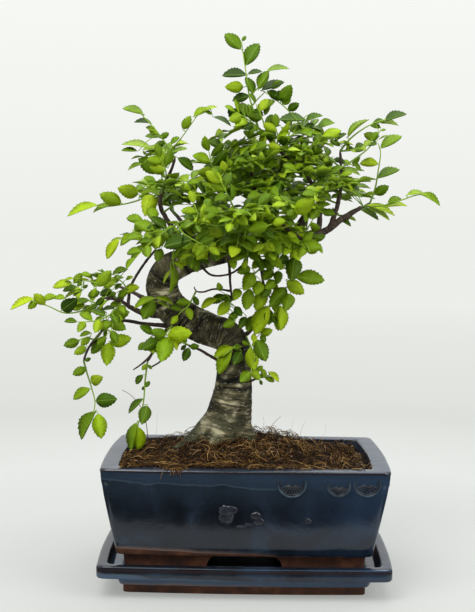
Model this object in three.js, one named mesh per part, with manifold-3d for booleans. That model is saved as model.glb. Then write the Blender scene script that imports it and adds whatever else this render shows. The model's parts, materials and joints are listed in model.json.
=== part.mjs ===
// A zelkova bonsai in a glazed pot on its saucer. Millimetres, +Z up, the origin on the ground
// under the middle of the saucer, the pot's long side along X and its front towards -Y.
import * as THREE from 'three';
import { mergeVertices } from 'three/addons/utils/BufferGeometryUtils.js';
import Module from 'manifold-3d';

const wasm = await Module();
wasm.setup();

const GAP = 0.3; // between pieces that touch

const POT = {
  length: 222.5, depth: 158, corner: 6, swell: 2.5, // the rim's outline, and how far its sides bow out
  rimTop: 100, rimWidth: 14, bodyBottom: 31.2, floorTop: 42,
  footInset: 17, footWidth: 14, footBottom: 18.5, // the foot stands on the saucer's floor
  archWidth: 61, archTop: 30.2, sideArchWidth: 46, archShoulder: 6, archCorner: 14, archLean: 3,
  holeRadius: 8, holeOffset: 45,
};
const SAUCER = { length: 227, depth: 161, corner: 6, swell: 2.5, lipTop: 25.6, lipThick: 10, plinthTop: 6.3 };
const MESH_PLATE = { side: 24, thick: 1.2, cell: 8, bar: 2.4, cells: 2 };
const SOIL = {
  edge: 98, crown: 15, // its height at the wall, and the mound's above it
  wallInset: 8, // how far the pot's walls lean in
  mound: { x: -5, y: 0, reachX: 95, reachY: 62 }, dropBack: 4.5, dropRight: 1.5, rough: 0.9,
  rings: [0.985, 0.92, 0.8, 0.64, 0.46, 0.26],
};

const TRUNK = { sides: 10, steps: 26, lumps: 0.035, buriedZ: 70 }; // it ends at buriedZ inside the soil
const BRANCH = { thickSides: 5, thinSides: 4, thinUnder: 3.6 };
// A shoot's stem is three-sided: its radii, its longest stretch, and the least room between two leaves
// and below the first one
const STEM = { thick: 1, thin: 0.7, step: 14, apart: 2.6, bare: 3.5 };

// The eye that the tree is drawn from: seen() turns a place in its picture, and a depth, into a point
const EYE = {
  x: 1.2, y: -951, z: 277, focal: 1163, pitch: 3.4, roll: 0.6, yaw: -0.55, // degrees, and the focal length in
  midX: 237.5, midY: 306, // the picture's own units, as its middle is
};

const LEAF = {
  widthShare: 0.54, // of its length
  ridge: 1, // thickness at the midrib
  arch: 0.1, // how far the tip bends down, of its length
  footWidth: 1.7, // along the stem
  turn: [46, 16], // its least angle from the stem in degrees, and what chance adds
  tipTurn: 8, // the last leaf's
  lift: 0.12, // of its axis, off the shoot's own plane
  tilt: 0.5, // chance's part in the way that its face looks
  young: [0.62, 0.38], // its length at the shoot's ends, of the size, and what the middle adds
  chance: [0.92, 0.16], // its length's least share, and what chance adds
  // its edge from the foot to the tip: along the length, out from the midrib, and with a ridge point or not
  edge: [[0.3, 0.9], [0.38, 0.73], [0.56, 1, true], [0.64, 0.79], [0.8, 0.72]],
  smallEdge: [[0.36, 0.95], [0.47, 0.78, true], [0.74, 0.82]],
  smallUnder: 12.5, // a shorter leaf has the small edge
};
const CLEARANCE = 0.25; // round a leaf, to the next piece
const TOUCHING = 0.00001; // cubic millimetres that two leaves of one spray may share

// How a shoot's leaves lie: the way that their upper faces look
const FACING = { level: [0, -0.4, 1], front: [0.05, -1, 0.25], raised: [0, -1, 0.75], back: [0, 0.5, 1] };

const UP = new THREE.Vector3(0, 0, 1);
const radians = THREE.MathUtils.degToRad;
const smooth = THREE.MathUtils.smoothstep;

// Points

function seen(across, down, depth) {
  const roll = radians(EYE.roll);
  const right = across - EYE.midX;
  const below = down - EYE.midY;
  const u = (right * Math.cos(roll) + below * Math.sin(roll)) / EYE.focal;
  const w = (below * Math.cos(roll) - right * Math.sin(roll)) / EYE.focal;
  const pitch = radians(EYE.pitch);
  const forward = Math.cos(pitch) - w * Math.sin(pitch);
  const rise = -Math.sin(pitch) - w * Math.cos(pitch);
  const yaw = radians(EYE.yaw);
  const ray = new THREE.Vector3(
    u * Math.cos(yaw) + forward * Math.sin(yaw),
    forward * Math.cos(yaw) - u * Math.sin(yaw),
    rise,
  );
  return new THREE.Vector3(EYE.x, EYE.y, EYE.z).addScaledVector(ray, (depth - EYE.y) / ray.y);
}

function seeded(seed) {
  let state = seed;
  return () => {
    state = (state * 1664525 + 1013904223) % 4294967296;
    return state / 4294967296;
  };
}

function chanceOf([least, more], random) {
  return least + more * random();
}

// Solids

function solidOf(geometry) {
  for (const extra of ['normal', 'uv']) {
    if (geometry.hasAttribute(extra)) {
      geometry.deleteAttribute(extra);
    }
  }
  const merged = mergeVertices(geometry, 1e-4);
  return new wasm.Manifold(new wasm.Mesh({
    numProp: 3,
    vertProperties: Float32Array.from(merged.attributes.position.array),
    triVerts: Uint32Array.from(merged.index.array),
  }));
}

function shell(points, triangles) {
  const geometry = new THREE.BufferGeometry().setFromPoints(points);
  geometry.setIndex(triangles.flat());
  return solidOf(geometry);
}

function joined(solids) {
  return wasm.Manifold.union(solids);
}

function meshOf(name, solid, material) {
  const { vertProperties, triVerts } = solid.getMesh();
  const geometry = new THREE.BufferGeometry();
  geometry.setAttribute('position', new THREE.BufferAttribute(vertProperties, 3));
  geometry.setIndex(new THREE.BufferAttribute(triVerts, 1));
  geometry.computeVertexNormals();
  const mesh = new THREE.Mesh(geometry, material);
  mesh.name = name;
  return mesh;
}

function finish(color, roughness, metalness = 0) {
  return new THREE.MeshStandardMaterial({ color, roughness, metalness });
}

// A rounded rectangle whose sides bow outwards a little, counted anticlockwise from above
function outline(halfX, halfY, corner, swell) {
  const ring = [];
  for (let side = 0; side < 4; side++) {
    const turn = (side * Math.PI) / 2;
    const out = new THREE.Vector2(Math.round(Math.cos(turn)), Math.round(Math.sin(turn)));
    const along = new THREE.Vector2(-out.y, out.x);
    const reach = side % 2 ? halfY : halfX;
    const run = (side % 2 ? halfX : halfY) - corner;
    for (const share of [-1, -0.4, 0.4, 1]) {
      const bow = swell * (1 - share * share);
      ring.push(out.clone().multiplyScalar(reach + bow).addScaledVector(along, share * run));
    }
    const centre = out.clone().multiplyScalar(reach - corner).addScaledVector(along, run);
    ring.push(centre.addScaledVector(out, corner * Math.SQRT1_2).addScaledVector(along, corner * Math.SQRT1_2));
  }
  return ring;
}

// A closed solid from rings that run from a middle point below to a middle point above
function loft(rings, bottom, top) {
  const points = [bottom, ...rings.flat(), top];
  const count = rings[0].length;
  const at = (ring, index) => 1 + ring * count + (index % count);
  const last = rings.length - 1;
  const triangles = [];
  for (let i = 0; i < count; i++) {
    triangles.push([0, at(0, i + 1), at(0, i)]);
    for (let ring = 0; ring < last; ring++) {
      triangles.push([at(ring, i), at(ring, i + 1), at(ring + 1, i + 1)]);
      triangles.push([at(ring, i), at(ring + 1, i + 1), at(ring + 1, i)]);
    }
    triangles.push([points.length - 1, at(last, i), at(last, i + 1)]);
  }
  return shell(points, triangles);
}

// A dish shape: each profile row is an inset from the outer edge and a height
function dish(size, profile) {
  const rings = profile.map(([inset, z]) => {
    const corner = Math.max(size.corner - inset * 0.15, 2.5);
    return outline(size.length / 2 - inset, size.depth / 2 - inset, corner, size.swell)
      .map((point) => new THREE.Vector3(point.x, point.y, z));
  });
  const centre = (z) => new THREE.Vector3(0, 0, z);
  return loft(rings, centre(profile[0][1]), centre(profile.at(-1)[1]));
}

function pathOf(points) {
  return new THREE.CatmullRomCurve3(points, false, 'centripetal');
}

// The diameter at a share of a curve whose places have these diameters
function thicknessAt(diameters, share) {
  const place = share * (diameters.length - 1);
  const index = Math.min(Math.floor(place), diameters.length - 2);
  return THREE.MathUtils.lerp(diameters[index], diameters[index + 1], place - index);
}

// A tapered limb: a closed cylinder whose rings are carried along a curve
function limb(points, diameters, sides, steps, extra = 0, lumps = 0) {
  const curve = pathOf(points);
  const frames = curve.computeFrenetFrames(steps, false);
  const geometry = new THREE.CylinderGeometry(1, 1, 1, sides, steps);
  const position = geometry.attributes.position;
  for (let i = 0; i < position.count; i++) {
    const [x, y, z] = [position.getX(i), position.getY(i), position.getZ(i)];
    const step = Math.round((y + 0.5) * steps);
    const share = step / steps;
    const round = Math.atan2(x, z);
    const bump = 1 + lumps * (Math.sin(2 * round + 9 * share) + 0.7 * Math.sin(3 * round - 17 * share));
    const radius = (thicknessAt(diameters, curve.getUtoTmapping(share)) / 2) * bump + extra;
    const point = curve.getPointAt(share)
      .addScaledVector(frames.normals[step], x * radius)
      .addScaledVector(frames.binormals[step], -z * radius);
    if (step === 0) {
      point.addScaledVector(frames.tangents[0], -extra);
    }
    if (step === steps) {
      point.addScaledVector(frames.tangents[steps], extra);
    }
    position.setXYZ(i, point.x, point.y, point.z);
  }
  return solidOf(geometry);
}

function box(sizeX, sizeY, sizeZ, x, y, z) {
  return solidOf(new THREE.BoxGeometry(sizeX, sizeY, sizeZ).translate(x, y, z));
}

// Saucer, pot, drainage meshes and soil

function makeSaucer() {
  const { lipTop, lipThick, plinthTop } = SAUCER;
  return dish(SAUCER, [
    [20, 0], [19.2, 0.8], [19.2, plinthTop], [17, plinthTop + 0.6], [14.4, 12.2], [12, 14],
    [1, lipTop - lipThick], [0, lipTop - 5], [0, lipTop - 1.4], [1.2, lipTop], [7.6, lipTop],
    [9, lipTop - 1], [10.5, POT.footBottom + 0.4], [12, POT.footBottom - GAP],
  ]);
}

function archCut(width, length, alongX) {
  const rise = POT.archTop - POT.footBottom;
  const half = width / 2;
  const shoulder = rise - POT.archShoulder;
  const flat = half - POT.archCorner;
  const lean = half - POT.archLean;
  const shape = new THREE.Shape();
  shape.moveTo(-half, -1);
  shape.lineTo(half, -1);
  shape.lineTo(lean, shoulder);
  shape.quadraticCurveTo(lean - 2, rise, flat, rise);
  shape.lineTo(-flat, rise);
  shape.quadraticCurveTo(2 - lean, rise, -lean, shoulder);
  const cut = new THREE.ExtrudeGeometry(shape, { depth: length, bevelEnabled: false, curveSegments: 3 });
  cut.translate(0, 0, -length / 2).rotateX(Math.PI / 2).rotateZ(alongX ? Math.PI / 2 : 0);
  return solidOf(cut.translate(0, 0, POT.footBottom));
}

function makePot() {
  const { rimTop, rimWidth, bodyBottom, floorTop, footInset, footWidth, footBottom } = POT;
  const footInside = footInset + footWidth;
  let pot = dish(POT, [
    [footInside - 1, bodyBottom], [footInside, footBottom], [footInset + 1.6, footBottom],
    [footInset + 1, footBottom + 3], [footInset, bodyBottom], [12.6, bodyBottom], [11.2, bodyBottom + 3],
    [9.1, 46], [5.6, 64], [2.4, 81], [0.4, rimTop - 3], [0, rimTop - 1.6], [1, rimTop],
    [rimWidth - 1, rimTop], [rimWidth, rimTop - 1], [rimWidth + SOIL.wallInset, floorTop],
  ]);
  pot = pot.subtract(archCut(POT.archWidth, POT.depth + 40, false));
  pot = pot.subtract(archCut(POT.sideArchWidth, POT.length + 40, true));
  for (const side of [-1, 1]) {
    const hole = new THREE.CylinderGeometry(POT.holeRadius, POT.holeRadius, 30, 16).rotateX(Math.PI / 2);
    pot = pot.subtract(solidOf(hole.translate(side * POT.holeOffset, 0, floorTop)));
  }
  return pot;
}

function makeDrainMesh(x) {
  const { side, thick, cell, bar, cells } = MESH_PLATE;
  const z = POT.floorTop + GAP + thick / 2;
  let plate = box(side, side, thick, x, 0, z);
  const at = (index) => (index - (cells - 1) / 2) * (cell + bar);
  for (let column = 0; column < cells; column++) {
    for (let row = 0; row < cells; row++) {
      plate = plate.subtract(box(cell, cell, thick * 3, x + at(column), at(row), z));
    }
  }
  return plate;
}

// The soil's height over the pot's plan: a mound round the trunk, lower along the back
function soilTop(x, y) {
  const { mound } = SOIL;
  const out = Math.hypot((x - mound.x) / mound.reachX, (y - mound.y) / mound.reachY);
  const heap = SOIL.crown * (1 - smooth(out, 0.22, 1.02));
  const drop = SOIL.dropBack * smooth(y, 10, 60) + SOIL.dropRight * smooth(x, 20, 90);
  const rough = SOIL.rough * Math.sin(x * 0.31 + y * 0.17) * Math.cos(y * 0.29 - x * 0.11);
  return SOIL.edge + heap - drop + rough;
}

function makeSoil(buriedWood) {
  const inside = POT.rimWidth + GAP;
  const ringAt = (inset, shrink, height) => outline(
    (POT.length / 2 - inset) * shrink, (POT.depth / 2 - inset) * shrink, 4 * shrink, POT.swell * shrink,
  ).map(({ x, y }) => new THREE.Vector3(x, y, height ?? soilTop(x, y)));
  const rings = [
    ringAt(inside + SOIL.wallInset, 1, POT.floorTop + GAP),
    ringAt(inside + 0.9, 1, SOIL.edge - 6.5),
    ...SOIL.rings.map((shrink) => ringAt(inside + 0.9, shrink)),
  ];
  const top = new THREE.Vector3(0, 0, soilTop(0, 0));
  let soil = loft(rings, new THREE.Vector3(0, 0, POT.floorTop + GAP), top).subtract(buriedWood);
  for (const side of [-1, 1]) {
    const room = MESH_PLATE.side + 2 * GAP;
    const height = MESH_PLATE.thick + 4 * GAP;
    soil = soil.subtract(box(room, room, height, side * POT.holeOffset, 0, POT.floorTop + height / 2));
  }
  return soil;
}

// The tree's wood. A row is a place in the picture (across, down), a depth and a diameter

const TRUNK_LINE = [
  [226, 432, 2, 45], [230, 411, 1, 36], [233, 391, 0, 31.5], [234, 371, 0, 28.5], [235.5, 354, 0, 26],
  [228, 337, 0, 26.5], [210, 330, 1, 27.5], [187, 319, 2, 27.5], [169.5, 305, 2, 26.5],
  [162, 287, 0, 26.5], [166.5, 271.5, -4, 25], [181, 263, -7, 22.5], [200, 258, -8, 19.5],
  [225, 254, -7, 15], [250, 250, -4, 10.5], [272, 245, -2, 8.5], [300, 240, 2, 7], [327, 230, 5, 6],
  [341, 219.5, 6, 5.4], [352, 213, 7, 4.6], [362, 206.5, 8, 3],
];
const ROOTS = [
  [[214, 423, -4, 22], [197, 437, -9, 15], [181, 448, -14, 9], [166, 456, -18, 5]],
  [[240, 428, -4, 20], [253, 441, -12, 11], [266, 452, -18, 5]],
  [[222, 428, -8, 20], [216, 445, -20, 12], [208, 459, -30, 6]],
  [[232, 426, 8, 20], [236, 437, 22, 11], [240, 446, 34, 5]],
  [[218, 426, 8, 18], [204, 437, 20, 10], [192, 445, 30, 5]],
];
const BRANCHES = {
  apexTwig: [[318, 233, 4, 5], [320, 214, 6, 4], [317, 197, 6, 3.4], [310.7, 181.4, 5, 3], [298, 169, 4, 2.7],
    [289, 160, 2, 2.4], [277, 148, 0, 2.2], [266, 136, -1, 2.1], [258, 127, -2, 1.9]],
  leftArm: [[170, 315, 0, 7], [154, 315, -6, 5.2], [143, 313, -9, 4.4], [131.6, 308, -12, 3.8],
    [124, 303, -14, 3.2], [115, 299, -16, 2.6], [104, 298, -18, 2.2]],
  leftLow: [[172, 326, 0, 5], [157, 325, 5, 3.6], [143, 323.5, 8, 3], [124.5, 320.6, 6, 2.6],
    [108, 325, 0, 2.4], [98, 336, -6, 2.2], [88, 349, -10, 2], [83.7, 361, -12, 1.9]],
  leftRiser: [[128, 306, -13, 3], [130.6, 287, -8, 2.4], [143, 265.5, 2, 2.2], [156, 249, 8, 2]],
  leftBackArm: [[160, 305, 4, 6], [146, 299, 22, 4], [132, 292, 40, 3], [118, 286, 54, 2.2]],
  underTwig: [[176, 318, 0, 4], [163, 335, -8, 2.8], [154, 350, -12, 2.3], [147.5, 361.6, -13, 1.9]],
  underSpurLeft: [[154, 352, -12, 2], [143, 363, -13, 1.6], [133, 370, -14, 1.2]],
  underSpurRight: [[155, 350, -12, 2], [162, 359, -11, 1.6], [150, 368, -12, 1.2]],
  innerTwig: [[229, 364, 0, 4], [214, 358, -6, 2.6], [199, 349.4, -9, 2.2], [188, 345, -10, 1.9]],
  lowStub: [[240, 380, -3, 3.4], [249, 381, -7, 2.4], [256, 379, -10, 1.9]],
  elbowTwig: [[238, 340, -2, 5], [249, 332, -6, 3.2], [260, 322, -9, 2.4], [270, 316, -10, 2]],
  hangingTwig: [[257, 247, -4, 3.4], [260, 262, -14, 2.4], [263.6, 284, -18, 2], [268, 294, -18, 1.8]],
  outerTwig: [[276, 244, -2, 3.4], [284, 254, -12, 2.4], [287, 268, -16, 2]],
  innerHanger: [[229, 256, -7, 3], [230.4, 284, -11, 2], [232, 300, -12, 1.8]],
  curlTwig: [[200, 264, -10, 2.6], [210, 274.5, -17, 1.8], [221, 275.7, -18, 1.6], [234, 272, -17, 1.6],
    [246, 262, -12, 2]],
  hookTwig: [[231, 291, -11, 2], [214, 289, -14, 1.6], [203, 292, -15, 1.4], [196, 291, -15, 1.3],
    [194, 286.6, -15, 1.2]],
  leftUp: [[196, 259, -8, 7], [181, 238, -4, 5], [167, 220, 0, 4], [160, 204, 3, 3.4], [163, 188, 4, 3],
    [172, 168, 3, 2.4], [175, 158, 1, 2]],
  leftBack: [[204, 257, -6, 7], [195, 238, 14, 4.6], [182, 222, 32, 3.4], [170, 208, 48, 2.4]],
  leftFront: [[206, 259, -8, 6], [197, 245, -22, 4.2], [186, 233, -36, 3], [177, 224, -50, 2.2]],
  centreUp: [[229, 253, -6, 7], [231, 230, 0, 5], [224, 206, 4, 4], [216, 182, 3, 3], [212, 163, 0, 2.2]],
  centreBack: [[240, 251, -4, 6.5], [246, 228, 18, 4.4], [250, 206, 38, 3.2], [250, 186, 54, 2.2]],
  centreFront: [[240, 251, -6, 6], [243, 236, -22, 4.2], [240, 222, -38, 3], [236, 212, -54, 2.2]],
  middleUp: [[262, 247, -3, 6], [263, 222, 4, 4.4], [256, 194, 7, 3.2], [250, 168, 5, 2.2]],
  rightBack: [[300, 240, 2, 5.5], [304, 222, 20, 4], [311, 205, 38, 3], [317, 190, 52, 2.2]],
  rightFront: [[288, 242, 0, 5.5], [296, 228, -20, 4], [305, 213, -38, 3], [312, 198, -52, 2.2]],
  rightFork: [[352, 213, 7, 3.4], [362, 208, 15, 2.4], [370, 203, 18, 2]],
  rightUp: [[330, 228, 5, 5], [337, 207, 8, 3.6], [341, 186, 6, 2.8], [341, 168, 5, 2.4], [340, 151, 4, 2]],
  frontStub: [[263, 231, -32, 4], [275, 222, -42, 3.2], [290, 231, -50, 2.8], [304, 241, -54, 2.2]],
  frontStubRoot: [[252, 248, -5, 4.4], [256, 240, -20, 3.6], [264, 230, -34, 3]],
};

// Leafy shoots by their places in the picture, from the root out, each place with a depth. A side
// shoot leaves the first one at the share that from gives

const SHOWN_SPRAYS = {
  apex: [
    { path: [[258, 126, -2], [254.6, 114.6, -2], [249.3, 96, -3], [246.6, 77, -3], [243, 53, -4]],
      leaves: 8, size: 21, face: 'raised', bare: 0.2 },
    { from: 0.42, path: [[256, 90, -4], [265, 78, -6], [270, 70, -7]], leaves: 4, size: 16, face: 'raised' },
  ],
  apexRight: [
    { path: [[304, 133, 6], [295, 118, 4], [287, 109, 2], [276, 100, 0], [265, 92, -2]],
      leaves: 8, size: 15, face: 'raised', bare: 0.1 },
    { from: 0.42, path: [[306, 116, 7], [316, 114, 9]], leaves: 4, size: 15, face: 'level' },
  ],
  leftTop: [
    { path: [[175, 157, 1], [164, 141, 0], [154, 128, -1], [144, 117, -2], [138, 110, -3]],
      leaves: 9, size: 14, face: 'level', bare: 0.15 },
    { from: 0.12, path: [[182, 137, -2], [192, 123, -4], [200, 113, -5], [210, 108, -6]],
      leaves: 7, size: 15, face: 'raised', bare: 0.3 },
  ],
  leftLong: [
    { path: [[157, 195, 2], [148, 197, 0], [131, 202.5, -3], [112, 206, -5], [97, 207, -6]],
      leaves: 7, size: 20, face: 'raised', bare: 0.15 },
  ],
  leftDroop: [
    { path: [[162, 221, -6], [150, 226, -10], [136, 235, -13], [122, 244, -15]],
      leaves: 8, size: 15, face: 'level', bare: 0.1 },
  ],
  leftDroopLow: [
    { path: [[175, 225, -52], [163, 233, -56], [148, 245, -60], [136, 257, -63]],
      leaves: 7, size: 15, face: 'level', bare: 0.1 },
  ],
  rightSweep: [
    { path: [[341, 148, 4], [350, 139, 2], [360, 131, 0], [370, 125, -1], [386, 119, -2]],
      leaves: 8, size: 16, face: 'level', bare: 0.05 },
  ],
  rightRise: [
    { path: [[348, 166, 12], [356, 158, 17], [366.6, 150, 18], [375, 140, 18], [381, 129, 18]],
      leaves: 6, size: 13, face: 'level', bare: 0.1 },
  ],
  rightUpright: [
    { path: [[371, 201, 19], [375, 189, 20], [378.6, 168.6, 20], [380.5, 152, 20], [378, 143, 20]],
      leaves: 6, size: 18, face: 'raised', bare: 0.25 },
  ],
  rightFar: [
    { path: [[364, 206, 8], [383, 205.6, 4], [401.7, 200, 0], [417, 195, -3], [427, 195, -5]],
      leaves: 10, size: 14, face: 'level', bare: 0.1 },
    { from: 0.1, path: [[374, 211, 3], [383, 216, 0]], leaves: 4, size: 14, face: 'level' },
  ],
  leftFar: [
    { path: [[101, 299, -18], [84, 310, -20], [65, 313, -22], [48, 306, -24], [30, 301, -26]],
      leaves: 8, size: 16, face: 'raised', bare: 0.1 },
  ],
  leftHigh: [
    { path: [[117, 294, -20], [108, 288, -26], [96, 283, -32], [82, 280, -36]],
      leaves: 8, size: 14, face: 'raised', bare: 0.05 },
  ],
  leftMiddle: [
    { path: [[110, 302, -10], [98, 303, -4], [82, 299, 2], [66, 299, 8]],
      leaves: 8, size: 15, face: 'raised', bare: 0.05 },
  ],
  leftLower: [
    { path: [[120, 310, -22], [108, 316, -30], [94, 321, -36], [78, 322, -40]],
      leaves: 8, size: 14, face: 'raised', bare: 0.05 },
    { from: 0.3, path: [[112, 328, -34], [106, 336, -36]], leaves: 4, size: 13, face: 'front' },
  ],
  leftUpper: [
    { path: [[129, 294, -12], [124, 284, -16], [116, 277, -20]], leaves: 6, size: 13, face: 'raised' },
  ],
  leftRiserTip: [
    { path: [[155, 250, 9], [146, 240, 10], [134, 236, 10], [124, 238, 10]],
      leaves: 7, size: 14, face: 'level' },
  ],
  leftBackTip: [
    { path: [[116, 285, 56], [104, 280, 60], [90, 280, 64]], leaves: 8, size: 15, face: 'back' },
    { from: 0.2, path: [[112, 278, 68], [106, 274, 76]], leaves: 4, size: 14, face: 'back' },
  ],
  hangingLeft: [
    { path: [[83.9, 363, -12], [86.7, 372, -13], [91, 386, -14], [95, 402, -15], [93, 415, -16]],
      leaves: 6, size: 20, face: 'front', bare: 0.12 },
  ],
  hangingLeftTop: [
    { path: [[94, 338, -14], [85, 338, -20], [74, 342, -24]], leaves: 5, size: 15, face: 'front' },
  ],
  hangingLeftBright: [
    { path: [[108, 330, -12], [113, 336, -18], [114, 343, -20]], leaves: 4, size: 19, face: 'front' },
  ],
  hangingMiddle: [
    { path: [[147.4, 363, -13], [145, 382, -14], [143.5, 402, -15], [138, 426, -16]],
      leaves: 7, size: 19, face: 'front', bare: 0.15 },
  ],
  trunkBright: [
    { path: [[172, 326, -17], [168, 331, -22], [163, 338, -25]], leaves: 4, size: 19, face: 'front' },
  ],
  trunkCentre: [
    { path: [[236, 346, -16], [230, 350, -21], [223, 356, -23]], leaves: 5, size: 17, face: 'front' },
  ],
  trunkRight: [
    { path: [[247, 343, -12], [252, 349, -16], [256, 358, -18]], leaves: 5, size: 16, face: 'front' },
  ],
  lowStub: [
    { path: [[257, 379, -10], [264, 376, -12], [273, 374, -13]], leaves: 5, size: 9, face: 'front' },
  ],
  innerTwigTip: [
    { path: [[186, 344, -11], [181, 341, -14], [175, 339, -16]], leaves: 5, size: 11, face: 'front' },
  ],
  underArm: [
    { path: [[155, 330, -6], [152, 336, -12], [147, 342, -15]], leaves: 4, size: 14, face: 'front' },
  ],
  limbTop: [
    { path: [[188, 306, -16], [183, 310, -20], [178, 315, -22]], leaves: 5, size: 12, face: 'front' },
  ],
  armFront: [
    { path: [[142, 308, -14], [146, 304, -22], [150, 303, -28]], leaves: 4, size: 17, face: 'raised' },
  ],
  bendFront: [
    { path: [[189, 248, -30], [188, 256, -36], [193, 262, -38]], leaves: 5, size: 17, face: 'front' },
  ],
  bendLeft: [
    { path: [[175, 245, -46], [173, 258, -42], [174, 270, -38]], leaves: 4, size: 16, face: 'front' },
  ],
  frontLoop: [
    { path: [[235, 213, -56], [224, 225, -64], [209, 224, -68], [199, 215, -69], [194, 204, -68]],
      leaves: 6, size: 13, face: 'front', bare: 0.3 },
  ],
  frontStubTip: [
    { path: [[305, 242, -56], [308, 246, -60], [310, 252, -62]], leaves: 4, size: 18, face: 'front' },
  ],
  hangingInner: [
    { path: [[258, 268, -20], [252, 277, -24], [246, 290, -26]], leaves: 6, size: 15, face: 'front' },
  ],
  hangingOuter: [
    { path: [[288, 270, -17], [292, 277, -19], [296, 286, -20]], leaves: 5, size: 18, face: 'front' },
  ],
  hangingLow: [
    { path: [[269, 296, -19], [274, 304, -21], [279, 316, -23]], leaves: 7, size: 17, face: 'front' },
  ],
  elbowTip: [
    { path: [[268, 318, -12], [264, 325, -16], [262, 333, -18]], leaves: 6, size: 14, face: 'front' },
  ],
  innerHangerTip: [
    { path: [[231.5, 302, -13], [226, 306, -17], [222, 312, -19]], leaves: 6, size: 12, face: 'front' },
  ],
};

// Sprays that fill the crown by a rule. By branch: the share along it where each one grows, the way that
// it leans in degrees from the right through the back, and its rise for a length of one
const FILL_OUTLETS = {
  leftUp: [[0.52, -40, 0.25]],
  leftBack: [[0.8, 150, 0.9], [1, 60, 0.8]],
  leftFront: [[0.72, -160, -0.1]],
  centreUp: [[0.55, -60, 0.3], [1, 15, 0.6]],
  centreBack: [[0.5, 45, 0.3], [1, 100, 0.9]],
  centreFront: [[0.55, -95, -0.4]],
  middleUp: [[0.5, -20, 0.4], [1, 5, 0.55]],
  rightBack: [[0.7, 10, 0.2], [1, 150, 0.9]],
  rightFront: [[0.5, -130, -0.4], [1, -30, 0.3]],
  rightUp: [[0.6, 195, 0.5]],
};
const CROWN = { middle: new THREE.Vector3(12, 0, 318), reach: new THREE.Vector3(92, 84, 62) };
const FILL = {
  length: 50, bow: 3, bare: 0.22, leaves: 6, size: 19,
  sides: [[-1, 0.3], [1, 0.455]], // the hand and the place of each side shoot
  sideTurn: 46, sideLength: 26, sideLeaves: 3, sideSize: 17,
};
const LEAF_SEED = 101;
// How a root finds its place on the wood: how near it lies to the wood's middle, the straight start of the
// stem, and the distances that it tries
const SEAT = { reach: 4, straight: 8, first: 0.4, step: 0.2, last: 16 };

function rows(list) {
  return { points: list.map(([x, y, depth]) => seen(x, y, depth)), widths: list.map((row) => row[3]) };
}

function inCrown(point, from) {
  const local = point.clone().sub(CROWN.middle).divide(CROWN.reach);
  const past = Math.max(local.length(), 1);
  return point.clone().sub(from).divideScalar(past).add(from);
}

// One filling spray: a main shoot that leans its own way, and two side shoots. One that droops shows
// its leaves' upper faces to the front
function fillShoots(branch, [share, lean, rise]) {
  const foot = branch.getPointAt(share);
  const onward = new THREE.Vector3(1, 0, 0).applyAxisAngle(UP, radians(lean));
  const heading = onward.clone().setZ(rise).normalize();
  const end = inCrown(foot.clone().addScaledVector(heading, FILL.length), foot);
  const middle = foot.clone().lerp(end, 0.5).add(new THREE.Vector3(0, 0, FILL.bow));
  const face = rise < 0 ? FACING.raised : onward.clone().multiplyScalar(0.35).setZ(1).toArray();
  const shoots = [{ points: [foot, middle, end], leaves: FILL.leaves, size: FILL.size, face, bare: FILL.bare }];
  for (const [side, from] of FILL.sides) {
    const start = foot.clone().lerp(end, from);
    const way = heading.clone().applyAxisAngle(squareTo(heading, face).up, -side * radians(FILL.sideTurn));
    const tip = inCrown(start.clone().addScaledVector(way, FILL.sideLength), start);
    const points = [start.clone().lerp(tip, 0.5).add(new THREE.Vector3(0, 0, FILL.bow)), tip];
    shoots.push({ points, from, face, leaves: FILL.sideLeaves, size: FILL.sideSize });
  }
  return shoots;
}

function shownShoots(shoots) {
  return shoots.map((shoot) => ({
    ...shoot,
    points: shoot.path.map((place) => seen(...place)),
    face: FACING[shoot.face],
  }));
}

// The part of a shoot's face that is square to its stem, and the way across it
function squareTo(tangent, face) {
  const up = new THREE.Vector3(...face).normalize();
  up.addScaledVector(tangent, -up.dot(tangent)).normalize();
  return { up, across: new THREE.Vector3().crossVectors(tangent, up) };
}

// Each leaf of a shoot: right and left in turn, and the last one in line with the stem
function leavesOf(shoot, curve, random) {
  const leaves = [];
  const bare = shoot.bare ?? 0.12;
  for (let i = 0; i < shoot.leaves; i++) {
    const order = i / (shoot.leaves - 1);
    const share = bare + (1 - bare) * order;
    const tangent = curve.getTangentAt(share);
    const { up, across } = squareTo(tangent, shoot.face);
    const hand = i % 2 ? 1 : -1;
    const turn = radians(order === 1 ? LEAF.tipTurn : chanceOf(LEAF.turn, random));
    const tilt = [LEAF.tilt * (random() - 0.5), LEAF.tilt * (random() - 0.5)];
    const young = LEAF.young[0] + LEAF.young[1] * Math.sin(Math.PI * (0.12 + 0.72 * order));
    const length = shoot.size * young * chanceOf(LEAF.chance, random);
    const axis = tangent.clone().multiplyScalar(Math.cos(turn))
      .addScaledVector(across, hand * Math.sin(turn)).addScaledVector(up, LEAF.lift).normalize();
    const normal = up.clone().addScaledVector(across, tilt[0]).addScaledVector(tangent, tilt[1]);
    const side = new THREE.Vector3().crossVectors(axis, normal).normalize();
    normal.crossVectors(side, axis).normalize();
    leaves.push({ share, hand, axis, side, normal, length });
  }
  return leaves;
}

// Triangles between two chains of point numbers, each point with its share of the length
function zip(left, right) {
  const triangles = [];
  let i = 0;
  let j = 0;
  while (i < left.length - 1 || j < right.length - 1) {
    const stepRight = i === left.length - 1
      || (j < right.length - 1 && right[j + 1].share <= left[i + 1].share);
    const next = stepRight ? right[++j] : left[++i];
    const behind = stepRight ? [left[i], right[j - 1]] : [left[i - 1], right[j]];
    const triangle = [...behind.map((point) => point.at), next.at];
    if (new Set(triangle).size === 3) {
      triangles.push(triangle);
    }
  }
  return triangles;
}

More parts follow.
